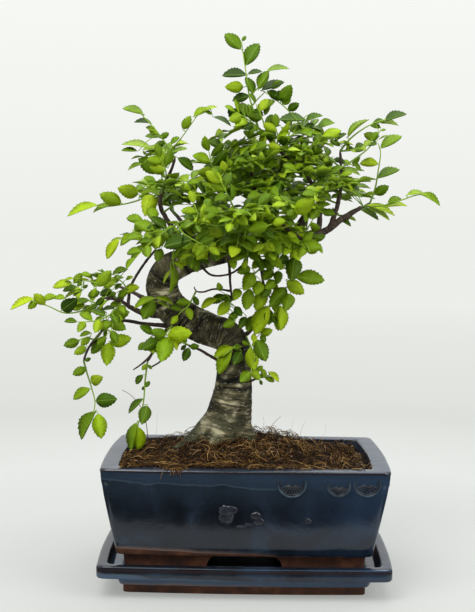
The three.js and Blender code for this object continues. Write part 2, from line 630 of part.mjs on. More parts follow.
// A thin arched blade with saw teeth, thickest at its midrib and sharp at its edge. It grows from a
// foot of three points, one above and one on each side of the midrib
function growBlade(body, [above, right, left], leaf, margin = 0) {
  const root = new THREE.Vector3();
  [above, right, left].forEach((at) => root.addScaledVector(body.points[at], 1 / 3));
  const half = (leaf.length * LEAF.widthShare) / 2 + margin;
  const put = (share, out, rise) => {
    body.points.push(root.clone()
      .addScaledVector(leaf.axis, share * (leaf.length + margin))
      .addScaledVector(leaf.side, out * half)
      .addScaledVector(leaf.normal, rise - LEAF.arch * leaf.length * share * share));
    return { at: body.points.length - 1, share };
  };
  const start = (at) => [{ at, share: 0 }];
  const chains = { left: start(left), ridge: start(above), right: start(right) };
  for (const [share, out, ridged] of leaf.length < LEAF.smallUnder ? LEAF.smallEdge : LEAF.edge) {
    chains.left.push(put(share, -out, -margin));
    chains.right.push(put(share, out, -margin));
    if (ridged) {
      chains.ridge.push(put(share, 0, LEAF.ridge + margin));
    }
  }
  const tip = put(1, 0, 0);
  Object.values(chains).forEach((chain) => chain.push(tip));
  body.triangles.push(
    ...zip(chains.ridge, chains.right), ...zip(chains.left, chains.ridge), ...zip(chains.right, chains.left),
  );
}

// The rings of a shoot's stem in order: a leaf or a side shoot leaves each, and the rest follow the bend
function stationsOf(shoot, sideShoots) {
  const length = shoot.curve.getLength();
  const sites = [
    ...shoot.blades.slice(0, -1).map((leaf) => ({ share: leaf.share, hand: leaf.hand, leaf })),
    ...sideShoots.map((side) => ({ share: side.from, hand: side.hand, side })),
  ].sort((a, b) => a.share - b.share);
  const apart = STEM.apart / length;
  const stations = [{ share: 0 }];
  for (const site of [...sites, { share: 1 }]) {
    const before = stations.at(-1);
    const share = Math.max(site.share, before.share + (before.hand ? apart : STEM.bare / length));
    if (site.hand && share + apart > 1) {
      continue; // no room left before the tip
    }
    const stretches = Math.ceil(((share - before.share) * length) / STEM.step);
    for (let i = 1; i < stretches; i++) {
      stations.push({ share: before.share + ((share - before.share) * i) / stretches });
    }
    stations.push({ ...site, share });
  }
  return stations;
}

// A side shoot's foot, turned until its corners face those of the ring that follows
function turnedTo(points, foot, ring) {
  const turned = (turn) => foot.map((_, corner) => foot[(corner + turn) % 3]);
  const miss = (turn) => turned(turn).reduce((sum, at, corner) => (
    sum + points[at].distanceTo(points[ring[corner]])), 0);
  return turned([0, 1, 2].reduce((best, turn) => (miss(turn) < miss(best) ? turn : best)));
}

// A three-sided stem. Its ring is a point above, one on the right and one on the left, and each leaf or
// side shoot grows from a small triangle of its skin
function growStem(body, spray, shoot, foot, wanted) {
  const sideShoots = foot ? [] : spray.shoots.slice(1);
  const stations = stationsOf(shoot, sideShoots);
  const put = (point) => body.points.push(point) - 1;
  const ringAt = ({ share }) => {
    const centre = shoot.curve.getPointAt(share);
    const { up, across } = squareTo(shoot.curve.getTangentAt(share), shoot.face);
    const radius = THREE.MathUtils.lerp(STEM.thick, STEM.thin, share);
    return [[1, 0], [-0.5, 0.87], [-0.5, -0.87]].map(([rise, out]) => (
      put(centre.clone().addScaledVector(up, rise * radius).addScaledVector(across, out * radius))));
  };
  let ring = foot ?? ringAt(stations[0]);
  if (!foot) {
    body.triangles.push([ring[0], ring[2], ring[1]]);
  }
  for (let i = 0; i < stations.length - 1; i++) {
    const site = stations[i];
    const next = ringAt(stations[i + 1]);
    if (foot && i === 0) {
      ring = turnedTo(body.points, foot, next);
    }
    const [above, right, left] = ring;
    const [above2, right2, left2] = next;
    if (!site.hand) {
      for (const [a, b, b2, a2] of [[above, right, right2, above2], [right, left, left2, right2],
        [left, above, above2, left2]]) {
        const forward = body.points[a].distanceTo(body.points[b2]) < body.points[b].distanceTo(body.points[a2]);
        body.triangles.push(...(forward ? [[a, b, b2], [a, b2, a2]] : [[a, b, a2], [b, b2, a2]]));
      }
      ring = next;
      continue;
    }
    const rightHand = site.hand > 0;
    const [start, end] = rightHand ? [right, right2] : [left, left2];
    const stretch = body.points[end].clone().sub(body.points[start]);
    const front = put(body.points[start].clone().addScaledVector(stretch.normalize(), LEAF.footWidth));
    if (rightHand) {
      body.triangles.push([above, front, above2], [front, right2, above2], [right, left, left2],
        [right, left2, front], [front, left2, right2], [left, above, above2], [left, above2, left2]);
    } else {
      body.triangles.push([above, right, right2], [above, right2, above2], [right, left, front],
        [right, front, left2], [right, left2, right2], [above, above2, front], [front, above2, left2]);
    }
    const base = rightHand ? [above, right, front] : [above, front, left];
    if (site.side) {
      growStem(body, spray, site.side, base, wanted);
    } else if (wanted(site.leaf, base, body)) {
      growBlade(body, base, site.leaf);
    } else {
      body.triangles.push(base);
    }
    ring = next;
  }
  const tipLeaf = shoot.blades.at(-1);
  if (wanted(tipLeaf, ring, body)) {
    growBlade(body, ring, tipLeaf);
  } else {
    body.triangles.push(ring);
  }
}

function growSpray(spray, wanted) {
  const body = { points: [], triangles: [] };
  growStem(body, spray, spray.shoots[0], null, wanted);
  return shell(body.points, body.triangles);
}

// A solid with its bounds, and the piece that it belongs to
function noted(solid, owner) {
  return { solid, owner, bounds: solid.boundingBox() };
}

function boundsMeet(a, b) {
  return a.min.every((low, axis) => low <= b.max[axis] && b.min[axis] <= a.max[axis]);
}

function crosses(solid, others, most = 0) {
  const bounds = solid.boundingBox();
  return others.some((other) => (
    boundsMeet(bounds, other.bounds) && Math.abs(solid.intersect(other.solid).volume()) > most));
}

function loneBlade(leaf, foot, body, margin) {
  const own = { points: foot.map((at) => body.points[at].clone()), triangles: [[0, 2, 1]] };
  growBlade(own, [0, 1, 2], leaf, margin);
  return shell(own.points, own.triangles);
}

// Every spray's shoots, before they are seated. Each spray has a seed of its own for its leaves
function collectSprays() {
  const sprays = Object.entries(SHOWN_SPRAYS).map(([name, shoots], index) => (
    { name, shoots: shownShoots(shoots), seed: LEAF_SEED + index }));
  for (const [branch, outlets] of Object.entries(FILL_OUTLETS)) {
    const curve = pathOf(rows(BRANCHES[branch]).points);
    outlets.forEach((outlet, order) => {
      const shoots = fillShoots(curve, outlet);
      sprays.push({ name: `${branch}Fill${order + 1}`, shoots, seed: LEAF_SEED + sprays.length });
    });
  }
  return sprays;
}

function layShoots(spray) {
  const random = seeded(spray.seed);
  const [main, ...sides] = spray.shoots;
  main.curve = pathOf(main.points);
  for (const side of sides) {
    const foot = main.curve.getPointAt(side.from);
    const { across } = squareTo(main.curve.getTangentAt(side.from), main.face);
    side.curve = pathOf([foot, ...side.points]);
    side.hand = across.dot(side.points[0].clone().sub(foot)) > 0 ? 1 : -1;
  }
  for (const shoot of spray.shoots) {
    shoot.blades = leavesOf(shoot, shoot.curve, random);
  }
}

// Moves a spray's root out from the middle of the wood that carries it until it stands just clear of it
function seat(spray, wood, samples) {
  const main = spray.shoots[0];
  const root = main.points[0];
  const carrier = samples.reduce((best, sample) => (
    sample.distanceTo(root) < best.distanceTo(root) ? sample : best));
  const onward = carrier.distanceTo(root) < SEAT.reach ? main.points.slice(1) : main.points;
  const way = onward[0].clone().sub(carrier).normalize();
  let stem;
  let out = SEAT.first;
  do {
    main.points = [
      carrier.clone().addScaledVector(way, out),
      ...onward.filter((point, index) => (
        index === onward.length - 1 || point.distanceTo(carrier) > out + SEAT.straight)),
    ];
    layShoots(spray);
    stem = growSpray(spray, () => false);
    out += SEAT.step;
  } while (crosses(stem, [wood]) && out < SEAT.last);
  return noted(stem, spray.name);
}

// The leaves that find room: clear of every other piece, and of their own spray's other leaves
function leafOut(spray, stem, placed) {
  const own = [stem];
  const others = placed.filter((other) => other.owner !== spray.name);
  const solid = growSpray(spray, (leaf, foot, body) => {
    const blade = loneBlade(leaf, foot, body);
    if (crosses(blade, own, TOUCHING) || crosses(loneBlade(leaf, foot, body, CLEARANCE), others)) {
      return false;
    }
    own.push(noted(blade, spray.name));
    return true;
  });
  placed.push(...own);
  return solid;
}

function makeTree() {
  const trunk = rows(TRUNK_LINE);
  trunk.points.unshift(trunk.points[0].clone().setZ(TRUNK.buriedZ));
  trunk.widths.unshift(trunk.widths[0] * 0.7);
  const base = (extra) => joined([
    limb(trunk.points, trunk.widths, TRUNK.sides, TRUNK.steps, extra, TRUNK.lumps),
    ...ROOTS.map(rows).map(({ points, widths }) => limb(points, widths, BRANCH.thickSides, 3, extra)),
  ]);
  const samples = pathOf(trunk.points).getSpacedPoints(160).slice(20);
  const branches = Object.values(BRANCHES).map((list) => {
    const { points, widths } = rows(list);
    samples.push(...pathOf(points).getSpacedPoints(24));
    const sides = widths[0] > BRANCH.thinUnder ? BRANCH.thickSides : BRANCH.thinSides;
    return limb(points, widths, sides, Math.max(3, Math.round(1.3 * (points.length - 1))));
  });
  const wood = noted(joined([base(0), ...branches]), 'wood');
  const sprays = collectSprays();
  const stems = sprays.map((spray) => seat(spray, wood, samples));
  const placed = [wood, ...stems];
  const leafy = sprays.map((spray, index) => (
    { name: spray.name, solid: leafOut(spray, stems[index], placed) }));
  return { wood: wood.solid, buried: base(GAP + 0.1), leafy };
}

const tree = makeTree();
const bonsai = new THREE.Group();
const glaze = finish('#1c2a44', 0.15);
bonsai.add(meshOf('saucer', makeSaucer(), glaze));
bonsai.add(meshOf('pot', makePot(), glaze.clone()));
bonsai.add(meshOf('drain_mesh_left', makeDrainMesh(-POT.holeOffset), finish('#22251f', 0.6)));
bonsai.add(meshOf('drain_mesh_right', makeDrainMesh(POT.holeOffset), finish('#22251f', 0.6)));
bonsai.add(meshOf('soil', makeSoil(tree.buried), finish('#4a3118', 0.95)));
bonsai.add(meshOf('tree_wood', tree.wood, finish('#6a6455', 0.85)));
for (const { name, solid } of tree.leafy) {
  bonsai.add(meshOf(`spray_${name}`, solid, finish('#4f8f1e', 0.5)));
}

export default bonsai;
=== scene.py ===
# The zelkova bonsai's looks: glazed pot and saucer, fibrous soil, ringed bark and saw-edged leaves.
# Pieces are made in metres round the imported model. Places on the tree are worked out in millimetres.

import bisect
import itertools
import json
import math
import random
from contextlib import contextmanager

import bmesh
import bpy
from mathutils import Matrix, Vector, noise
from mathutils.kdtree import KDTree

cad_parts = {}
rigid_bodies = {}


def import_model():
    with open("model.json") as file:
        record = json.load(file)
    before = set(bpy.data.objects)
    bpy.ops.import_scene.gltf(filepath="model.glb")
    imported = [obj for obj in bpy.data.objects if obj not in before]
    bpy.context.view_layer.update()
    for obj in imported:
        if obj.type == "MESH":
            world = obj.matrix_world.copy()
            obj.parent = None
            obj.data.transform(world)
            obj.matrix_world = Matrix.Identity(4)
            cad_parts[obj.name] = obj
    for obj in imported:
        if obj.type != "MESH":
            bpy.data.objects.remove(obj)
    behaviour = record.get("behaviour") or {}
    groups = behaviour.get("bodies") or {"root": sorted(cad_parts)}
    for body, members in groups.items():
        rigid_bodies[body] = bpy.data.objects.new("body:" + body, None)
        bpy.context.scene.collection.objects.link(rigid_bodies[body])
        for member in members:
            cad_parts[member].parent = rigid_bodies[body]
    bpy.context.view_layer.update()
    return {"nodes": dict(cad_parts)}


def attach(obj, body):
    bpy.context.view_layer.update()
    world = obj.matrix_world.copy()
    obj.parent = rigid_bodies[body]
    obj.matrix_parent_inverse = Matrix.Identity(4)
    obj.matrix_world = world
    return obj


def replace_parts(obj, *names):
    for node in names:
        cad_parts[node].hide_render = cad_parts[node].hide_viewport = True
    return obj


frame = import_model()
mm = 0.001
print("frame loaded:", len(frame["nodes"]), "nodes")


# Small helpers for picking, making and finishing objects

def deselectAll():
    bpy.ops.object.select_all(action="DESELECT")


def pick(*pieces):
    deselectAll()
    for piece in pieces:
        piece.select_set(True)
    bpy.context.view_layer.objects.active = pieces[0]


def addPiece(operator, **settings):
    # a new primitive, camera or light, alone and active
    deselectAll()
    operator(**settings)
    return bpy.context.object


@contextmanager
def editing(piece):
    # edit mode with all of the piece selected
    pick(piece)
    bpy.ops.object.mode_set(mode="EDIT")
    bpy.ops.mesh.select_all(action="SELECT")
    yield
    bpy.ops.object.mode_set(mode="OBJECT")


def joinPieces(name, pieces):
    pick(*pieces)
    bpy.ops.object.join()
    joined = bpy.context.view_layer.objects.active
    joined.name = name
    joined.data.name = name
    return joined


def settle(piece):
    # the place goes into the mesh, so the object sits at the origin
    pick(piece)
    bpy.ops.object.transform_apply(location=True, rotation=True, scale=True)


def applyModifier(piece, kind, **settings):
    pick(piece)
    modifier = piece.modifiers.new(kind.lower(), kind)
    for name, value in settings.items():
        setattr(modifier, name, value)
    bpy.ops.object.modifier_apply(modifier=modifier.name)


def smoothShade(piece, angle=35):
    pick(piece)
    bpy.ops.object.shade_smooth_by_angle(angle=math.radians(angle))


def linkMesh(name, points, faces):
    mesh = bpy.data.meshes.new(name)
    mesh.from_pydata([point * mm for point in points], [], faces)
    piece = bpy.data.objects.new(name, mesh)
    bpy.context.collection.objects.link(piece)
    return piece


def keepValues(piece, name, values, domain="POINT"):
    # a number for every point or face, which a material reads
    piece.data.attributes.new(name, "FLOAT", domain).data.foreach_set("value", values)


def keepPlaces(piece, values):
    # every point's place on the straightened limb
    piece.data.attributes.new("woodPlace", "FLOAT_VECTOR", "POINT").data.foreach_set("vector", values)


def smoothFaces(piece):
    piece.data.polygons.foreach_set("use_smooth", [True] * len(piece.data.polygons))


def dress(piece, slot, *materials):
    piece.data.materials.clear()
    for material in materials:
        piece.data.materials.append(material)
    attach(piece, "root")


def clamp(value, low=0, high=1):
    return min(max(value, low), high)


def smoothStep(value, low, high):
    share = clamp((value - low) / (high - low))
    return share * share * (3 - 2 * share)


def mixed(a, b, share):
    return a + (b - a) * share


# Material helpers: each adds its nodes to the material that was started last

making = {}


def startMaterial(name):
    material = bpy.data.materials.new(name)
    material.use_nodes = True
    making["tree"] = material.node_tree
    making["shader"] = material.node_tree.nodes["Principled BSDF"]
    return material


def feed(node, feeds):
    # each socket gets a link, a number or a colour
    for socket, value in feeds.items():
        if isinstance(value, bpy.types.NodeSocket):
            making["tree"].links.new(value, node.inputs[socket])
        elif node.inputs[socket].type == "RGBA":
            node.inputs[socket].default_value = (*value, 1)
        else:
            node.inputs[socket].default_value = value
    return node


def shade(colour, **values):
    # the shader's own sockets
    names = {"rough": "Roughness", "specular": "Specular IOR Level", "ior": "IOR", "tint": "Specular Tint"}
    feed(making["shader"], {"Base Color": colour, **{names[name]: value for name, value in values.items()}})


def addNode(kind, feeds, **settings):
    node = making["tree"].nodes.new("ShaderNode" + kind)
    for name, value in settings.items():
        setattr(node, name, value)
    return feed(node, feeds)


def grain(place, scale, stretch=(1, 1, 1), detail=4, distortion=0.0):
    # cloudy noise on a place that may be stretched first
    mapping = addNode("Mapping", {"Vector": place, "Scale": stretch})
    return addNode("TexNoise", {"Vector": mapping.outputs[0], "Scale": scale, "Detail": detail,
                                "Distortion": distortion}).outputs[0]


def ramp(factor, *stops):
    # each stop has a place and a colour, or a single grey
    node = addNode("ValToRGB", {0: factor})
    elements = node.color_ramp.elements
    while len(elements) < len(stops):
        elements.new(0.5)
    for element, (place, colour) in zip(elements, stops):
        element.position = place
        element.color = (*(colour if isinstance(colour, tuple) else [colour] * 3), 1)
    return node.outputs[0]


def mixColour(factor, first, second, blend="MIX"):
    return addNode("Mix", {0: factor, 6: first, 7: second}, data_type="RGBA", blend_type=blend).outputs[2]


def maths(kind, first, second=0):
    return addNode("Math", {0: first, 1: second}, operation=kind).outputs[0]


def plus(first, second):
    return maths("ADD", first, second)


def minus(first, second):
    return maths("SUBTRACT", first, second)


def times(first, second):
    return maths("MULTIPLY", first, second)


def rangeMap(value, low, high, start=0.0, end=1.0):
    return addNode("MapRange", {"Value": value, "From Min": low, "From Max": high, "To Min": start,
                                "To Max": end}).outputs[0]


def tonedMaterial(name, colours, rough, specular=0.5, cloud=None):
    # coloured by the points' own tones, and clouded where a scale with its greys is given
    material = startMaterial(name)
    colour = ramp(attribute("tone"), *colours)
    if cloud:
        scale, *greys = cloud
        colour = mixColour(1.0, colour, ramp(grain(objectPlace()[0], scale, detail=3), *greys), "MULTIPLY")
    shade(colour, rough=rough, specular=specular)
    return material


def bumpy(height, strength, distance):
    bump = addNode("Bump", {"Height": height, "Strength": strength, "Distance": distance})
    feed(making["shader"], {"Normal": bump.outputs[0]})


def objectPlace():
    place = addNode("TexCoord", {}).outputs["Object"]
    return place, addNode("SeparateXYZ", {0: place}).outputs


def attribute(name, output="Fac"):
    return addNode("Attribute", {}, attribute_name=name).outputs[output]


# Camera: the photograph's own eye, in millimetres and pixels

eye = {
    "place": Vector((1.2, -951, 277)),
    "focal": 1163, "middle": (237.5, 306), "height": 612,
    "pitch": math.radians(3.4), "roll": math.radians(0.6), "yaw": math.radians(-0.55),
}


def seen(across, down, depth):
    # the point at this depth (y) that the eye sees at this place of its picture
    right = across - eye["middle"][0]
    below = down - eye["middle"][1]
    roll, pitch, yaw = eye["roll"], eye["pitch"], eye["yaw"]
    u = (right * math.cos(roll) + below * math.sin(roll)) / eye["focal"]
    w = (below * math.cos(roll) - right * math.sin(roll)) / eye["focal"]
    forward = math.cos(pitch) - w * math.sin(pitch)
    ray = Vector((u * math.cos(yaw) + forward * math.sin(yaw), forward * math.cos(yaw) - u * math.sin(yaw),
                  -math.sin(pitch) - w * math.cos(pitch)))
    return eye["place"] + ray * ((depth - eye["place"].y) / ray.y)


def placeCamera():
    camera = addPiece(bpy.ops.object.camera_add)
    camera.name = "photoCamera"
    camera.data.sensor_fit = "VERTICAL"
    camera.data.lens = eye["focal"] * camera.data.sensor_height / eye["height"]
    camera.data.clip_start = 0.01
    camera.matrix_world = (
        Matrix.Translation(eye["place"] * mm)
        @ Matrix.Rotation(-eye["yaw"], 4, "Z")
        @ Matrix.Rotation(math.pi / 2 - eye["pitch"], 4, "X")
        @ Matrix.Rotation(eye["roll"], 4, "Z")
    )
    bpy.context.scene.camera = camera


placeCamera()
print("camera placed")


# Stage: a pale floor that melts into a pale background, a dark card that only gloss sees, soft lights

stage = {
    "floor": (0.47, 0.48, 0.46), "floorRadius": 6.0,
    "fade": (0.30, 1.1, 0.4, 1.0),  # from this distance to that, the floor glows by this share to that
    "glowTo": 4.0,
    "glow": [(0.05, (0.72, 0.735, 0.70)), (0.12, (0.86, 0.875, 0.84)), (0.22, (0.745, 0.76, 0.725)),
             (1.0, (0.845, 0.86, 0.825))],
    "paper": (0.845, 0.86, 0.825), "paperTop": (0.93, 0.945, 0.915), "topRise": 0.2,
    "ambient": (0.62, 0.64, 0.66),
    # what gloss mirrors, dark low in front to bright above and behind
    "mirrorAside": 0.55, "mirrorUp": 0.9, "mirrorReach": 0.6,
    "mirror": [(0.0, (0.02, 0.024, 0.03)), (0.45, (0.06, 0.065, 0.07)), (0.75, (0.58, 0.59, 0.60)),
               (1.0, (0.70, 0.71, 0.71))],
    "card": (0.012, 0.014, 0.018), "cardNear": (0.20, 0.150), "cardFar": 1.4, "cardHeight": 0.0005,
    "lights": [
        # name, place, aim, size, watts
        ("keyLight", (-0.55, -0.75, 1.35), (0, 0, 0.22), 0.9, 17),
        ("fillLight", (0.95, -0.55, 0.75), (0, 0, 0.18), 0.8, 8),
        ("topLight", (0.1, 0.35, 1.5), (0, 0, 0.2), 1.2, 16),
    ],
}


def makeFloor():
    floor = addPiece(bpy.ops.mesh.primitive_circle_add, vertices=96, radius=stage["floorRadius"],
                     fill_type="TRIFAN")
    floor.name = "paleFloor"
    floor.data.materials.append(startMaterial("palePaper"))
    shade(stage["floor"], specular=0)
    place, _ = objectPlace()
    out = addNode("VectorMath", {0: place}, operation="LENGTH").outputs["Value"]
    glow = addNode("Emission", {"Color": ramp(rangeMap(out, 0, stage["glowTo"]), *stage["glow"])})
    blend = addNode("MixShader", {0: rangeMap(out, *stage["fade"]), 1: making["shader"].outputs[0],
                                  2: glow.outputs[0]})
    feed(making["tree"].nodes["Material Output"], {0: blend.outputs[0]})


def makeDarkCard():
    # a black card round the set: it darkens what the glazed walls mirror
    card = addPiece(bpy.ops.mesh.primitive_plane_add, size=1)
    card.name = "darkCard"
    card.scale = (stage["cardFar"] * 2, stage["cardFar"] * 2, 1)
    card.location.z = stage["cardHeight"]
    settle(card)
    with editing(card):
        bpy.ops.mesh.inset(thickness=0.5)
        work = bmesh.from_edit_mesh(card.data)
        for vert in work.verts:
            if vert.select:
                vert.co.x = math.copysign(stage["cardNear"][0], vert.co.x)
                vert.co.y = math.copysign(stage["cardNear"][1], vert.co.y)
        bmesh.update_edit_mesh(card.data)
        bpy.ops.mesh.delete(type="ONLY_FACE")
    card.data.materials.append(startMaterial("blackCard"))
    shade(stage["card"], rough=1)
    card.visible_camera = False
    card.visible_diffuse = False
    card.visible_shadow = False


def makeWorld():
    # pale to the camera, and something to mirror for gloss
    world = bpy.data.worlds.new("studio")
    bpy.context.scene.world = world
    world.use_nodes = True
    making["tree"] = world.node_tree
    x, y, z = addNode("SeparateXYZ", {0: addNode("TexCoord", {}).outputs["Generated"]}).outputs
    pale = mixColour(rangeMap(z, 0.0, stage["topRise"]), stage["paper"], stage["paperTop"])
    aside = times(maths("ABSOLUTE", x), stage["mirrorAside"])
    lift = plus(plus(y, aside), times(z, stage["mirrorUp"]))
    mirrored = ramp(rangeMap(lift, -stage["mirrorReach"], stage["mirrorReach"]), *stage["mirror"])
    rays = addNode("LightPath", {}).outputs
    ambient = mixColour(rays["Is Glossy Ray"], stage["ambient"], mirrored)
    feed(world.node_tree.nodes["Background"], {"Color": mixColour(rays["Is Camera Ray"], ambient, pale)})
    bpy.context.scene.view_settings.view_transform = "Standard"


def makeLights():
    for name, place, aim, size, watts in stage["lights"]:
        light = addPiece(bpy.ops.object.light_add, type="AREA", location=place)
        light.name = name
        light.data.energy = watts
        light.data.size = size
        light.rotation_euler = (Vector(aim) - Vector(place)).to_track_quat("-Z", "Y").to_euler()


makeFloor()
makeDarkCard()
makeWorld()
makeLights()
print("stage and lights set")


# Glaze and bare clay

glaze = {
    "cloudScale": 34, "streakScale": 190, "streakStretch": (1, 1, 0.14), "streakShare": 0.16,
    "speckScale": 650,
    "navy": [(0.34, (0.0035, 0.0050, 0.0075)), (0.48, (0.0060, 0.0095, 0.0155)),
             (0.58, (0.0090, 0.0160, 0.0280)), (0.70, (0.0150, 0.0310, 0.0560))],
    # the pot's fuller blue above a wavy level that slopes, and the saucer's painted highlight below it,
    # with a pale line along it that fades to the right
    "levelWave": 0.010, "levelSlope": 0.035, "fullerBlueAndHighlight": (0.040, 0.075, 0.135),
    "line": [(0.0, 0.0), (0.4, 1.0), (0.6, 0.8), (1.0, 0.0)], "lineFades": (0.05, 0.01), "lineShare": 0.42,
    "lineBlue": (0.055, 0.085, 0.115),
    "haze": (0.068, 0.090, 0.0, 0.4), "hazeBlue": (0.022, 0.036, 0.054),
    "rightFrom": (0.02, 0.10), "rightShare": 0.8, "rightBlue": (0.012, 0.030, 0.066),
    "specks": [(0.66, 0.0), (0.74, 0.55)], "speckBrown": (0.012, 0.008, 0.006),
    "band": [(0.0, 0), (0.25, 1), (0.75, 1), (1.0, 0)], "bandShare": 0.85,
    # the foot's bare clay below a ragged line, where the last drops are thin and pale
    "raggedScale": 45, "ragged": 0.004, "clayAcross": (0.06, -0.09), "dropReach": -0.0028,
    "drops": [(0.0, 0), (0.55, 0.5), (1.0, 0.9)], "dropsFade": (0.03, -0.05),
    "dropColour": (0.16, 0.115, 0.095),
    "bareEdge": (-0.0002, 0.0006), "clayScale": 90,
    "clay": [(0.25, (0.018, 0.006, 0.002)), (0.55, (0.075, 0.022, 0.006)), (0.8, (0.160, 0.058, 0.018))],
    "gloss": [(0.3, 0.10), (0.7, 0.20)], "clayRough": (0.85, 0.85, 0.85), "ior": 1.55,
    "tint": (0.93, 0.94, 1),
    "pitShare": 0.35, "bump": (0.35, 0.0012),
}


def glazeMaterial(name, clayBelow, clayRise, edgeBand, bandColour, blueBand, blueShare):
    # navy glaze that runs in fine streaks, thins to brown on edges and stops above the bare clay foot
    material = startMaterial(name)
    place, (x, _, z) = objectPlace()
    clouds = grain(place, glaze["cloudScale"], detail=6, distortion=0.5)
    streaks = grain(place, glaze["streakScale"], glaze["streakStretch"], detail=5)
    specks = grain(place, glaze["speckScale"], detail=2)
    fullness = plus(times(clouds, 1 - glaze["streakShare"]), times(streaks, glaze["streakShare"]))
    wave = minus(clouds, 0.5)
    level = plus(plus(z, times(wave, glaze["levelWave"])), times(x, glaze["levelSlope"]))
    # past the level: the pot's fuller glaze, and a painted highlight on the saucer's slanted body under its
    # lip
    upper = rangeMap(level, *blueBand)
    blue = mixColour(times(upper, blueShare), ramp(fullness, *glaze["navy"]), glaze["fullerBlueAndHighlight"])
    blue = mixColour(rangeMap(z, *glaze["haze"]), blue, glaze["hazeBlue"])
    lineShown = times(rangeMap(x, *glaze["lineFades"]), glaze["lineShare"])
    blue = mixColour(times(ramp(upper, *glaze["line"]), lineShown), blue, glaze["lineBlue"])
    rightward = times(rangeMap(x, *glaze["rightFrom"]), clouds)
    blue = mixColour(times(rightward, glaze["rightShare"]), blue, glaze["rightBlue"])
    blue = mixColour(ramp(specks, *glaze["specks"]), blue, glaze["speckBrown"])
    low, high, bandWave = edgeBand
    inBand = ramp(rangeMap(plus(z, times(wave, bandWave)), low, high), *glaze["band"])
    coat = mixColour(times(inBand, glaze["bandShare"]), blue, bandColour)
    ragged = times(minus(grain(place, glaze["raggedScale"], detail=5), 0.5), glaze["ragged"])
    line = plus(rangeMap(x, *glaze["clayAcross"], clayBelow, clayBelow + clayRise), ragged)
    fromLine = minus(line, z)
    drops = ramp(rangeMap(fromLine, glaze["dropReach"], 0.0), *glaze["drops"])
    coat = mixColour(times(drops, rangeMap(x, *glaze["dropsFade"])), coat, glaze["dropColour"])
    bare = rangeMap(fromLine, *glaze["bareEdge"])
    clay = ramp(grain(place, glaze["clayScale"], detail=8), *glaze["clay"])
    rough = mixColour(bare, ramp(clouds, *glaze["gloss"]), glaze["clayRough"])
    shade(mixColour(bare, coat, clay), rough=rough, ior=glaze["ior"], tint=glaze["tint"])
    bumpy(plus(clouds, times(times(specks, bare), glaze["pitShare"])), *glaze["bump"])
    return material


def plainMaterial(name, scale, rough, *stops):
    # one cloudy colour all over
    material = startMaterial(name)
    place, _ = objectPlace()
    shade(ramp(grain(place, scale, detail=5), *stops), rough=rough)
    return material


# Pot and saucer: rings of a bowed, round-cornered rectangle, extruded row by row

pot = {
    "length": 222.5, "depth": 158, "corner": 6, "swell": 2.5,
    "footBottom": 18.5, "archWidth": 61, "archTop": 30.2, "sideArchWidth": 46, "archCorner": 6,
    "archLean": 0.9, "archSpare": 40,
    "holeRadius": 8, "holeOffset": 45, "holeCut": 30, "holeZ": 42,
    "longSteps": 44, "shortSteps": 30, "cornerSteps": 5,
    # how far in from the outline, and the height
    "foot": [(30, 31.2), (31, 18.9), (30.6, 18.5), (19, 18.5), (18.4, 19.0), (18, 21.5), (17, 30.7),
             (16.6, 31.2), (13.6, 31.2), (12.6, 31.6)],
    "wall": [(11.7, 33.6), (9.1, 46), (7.35, 55), (5.6, 64), (4.0, 72.5), (2.75, 79), (1.75, 85.6),
             (1.35, 88.2), (1.0, 88.9), (0.55, 94), (0.4, 97)],
    "rim": [(0.1, 97.9), (0.12, 98.7), (0.5, 99.5), (1.2, 99.95), (2.2, 100), (12.0, 100), (13.1, 99.85),
            (13.8, 99.2), (14.1, 98.0), (16, 85), (22, 42)],
    "wave": 0.28, "waveSize": 34,
    # where the clay starts and how far it rises to the left, the brown edge band's low, high and wave,
    # its colour, the level of the fuller blue and its share
    "glaze": (0.0320, 0.0040, (0.0975, 0.0999, 0.001), (0.012, 0.007, 0.005), (0.0865, 0.0885), 0.2),
}
saucer = {
    "length": 227, "depth": 161, "corner": 6, "swell": 2.5,
    "longSteps": 44, "shortSteps": 30, "cornerSteps": 5,
    "profile": [(20, 0), (19.5, 0.2), (19.2, 0.8), (19.2, 5.7), (18.8, 6.3), (17.2, 6.8), (16.6, 7.5),
                (14.8, 11.6), (14.1, 12.6), (12, 13.9), (2.2, 15.4), (0.8, 15.9), (0.15, 17), (0, 18.2),
                (0, 23.4), (0.3, 24.7), (1.1, 25.4), (2.2, 25.6), (6.8, 25.6), (8.0, 25.3), (8.9, 24.3),
                (10.3, 19.4), (11, 18.6), (12, 18.2), (12.8, 18.2), (15, 18.2)],
    "wave": 0.18, "waveSize": 30,
    # the bright blue below this level is a painted highlight on the slanted body under the lip
    "glaze": (0.0068, 0.0, (0.0215, 0.0238, 0.0008), (0.020, 0.010, 0.007), (0.0165, 0.0135), 0.9),
}
rimTop = pot["rim"][4][1]


def outlineRing(size, inset):
    # points and outward ways, anticlockwise from above
    halfX = size["length"] / 2 - inset
    halfY = size["depth"] / 2 - inset
    corner = max(size["corner"] - inset * 0.15, 2.5)
    ring = []
    for side in range(4):
        turn = side * math.pi / 2
        out = Vector((round(math.cos(turn)), round(math.sin(turn)), 0))
        along = Vector((-out.y, out.x, 0))
        reach, run = (halfY, halfX - corner) if side % 2 else (halfX, halfY - corner)
        steps = size["longSteps"] if side % 2 else size["shortSteps"]
        for step in range(steps + 1):
            share = step / steps * 2 - 1
            bow = size["swell"] * (1 - share * share)
            ring.append((out * (reach + bow) + along * (share * run), out))
        centre = out * (reach - corner) + along * run
        for step in range(1, size["cornerSteps"]):
            bend = step / size["cornerSteps"] * math.pi / 2
            way = out * math.cos(bend) + along * math.sin(bend)
            ring.append((centre + way * corner, way))
    return ring


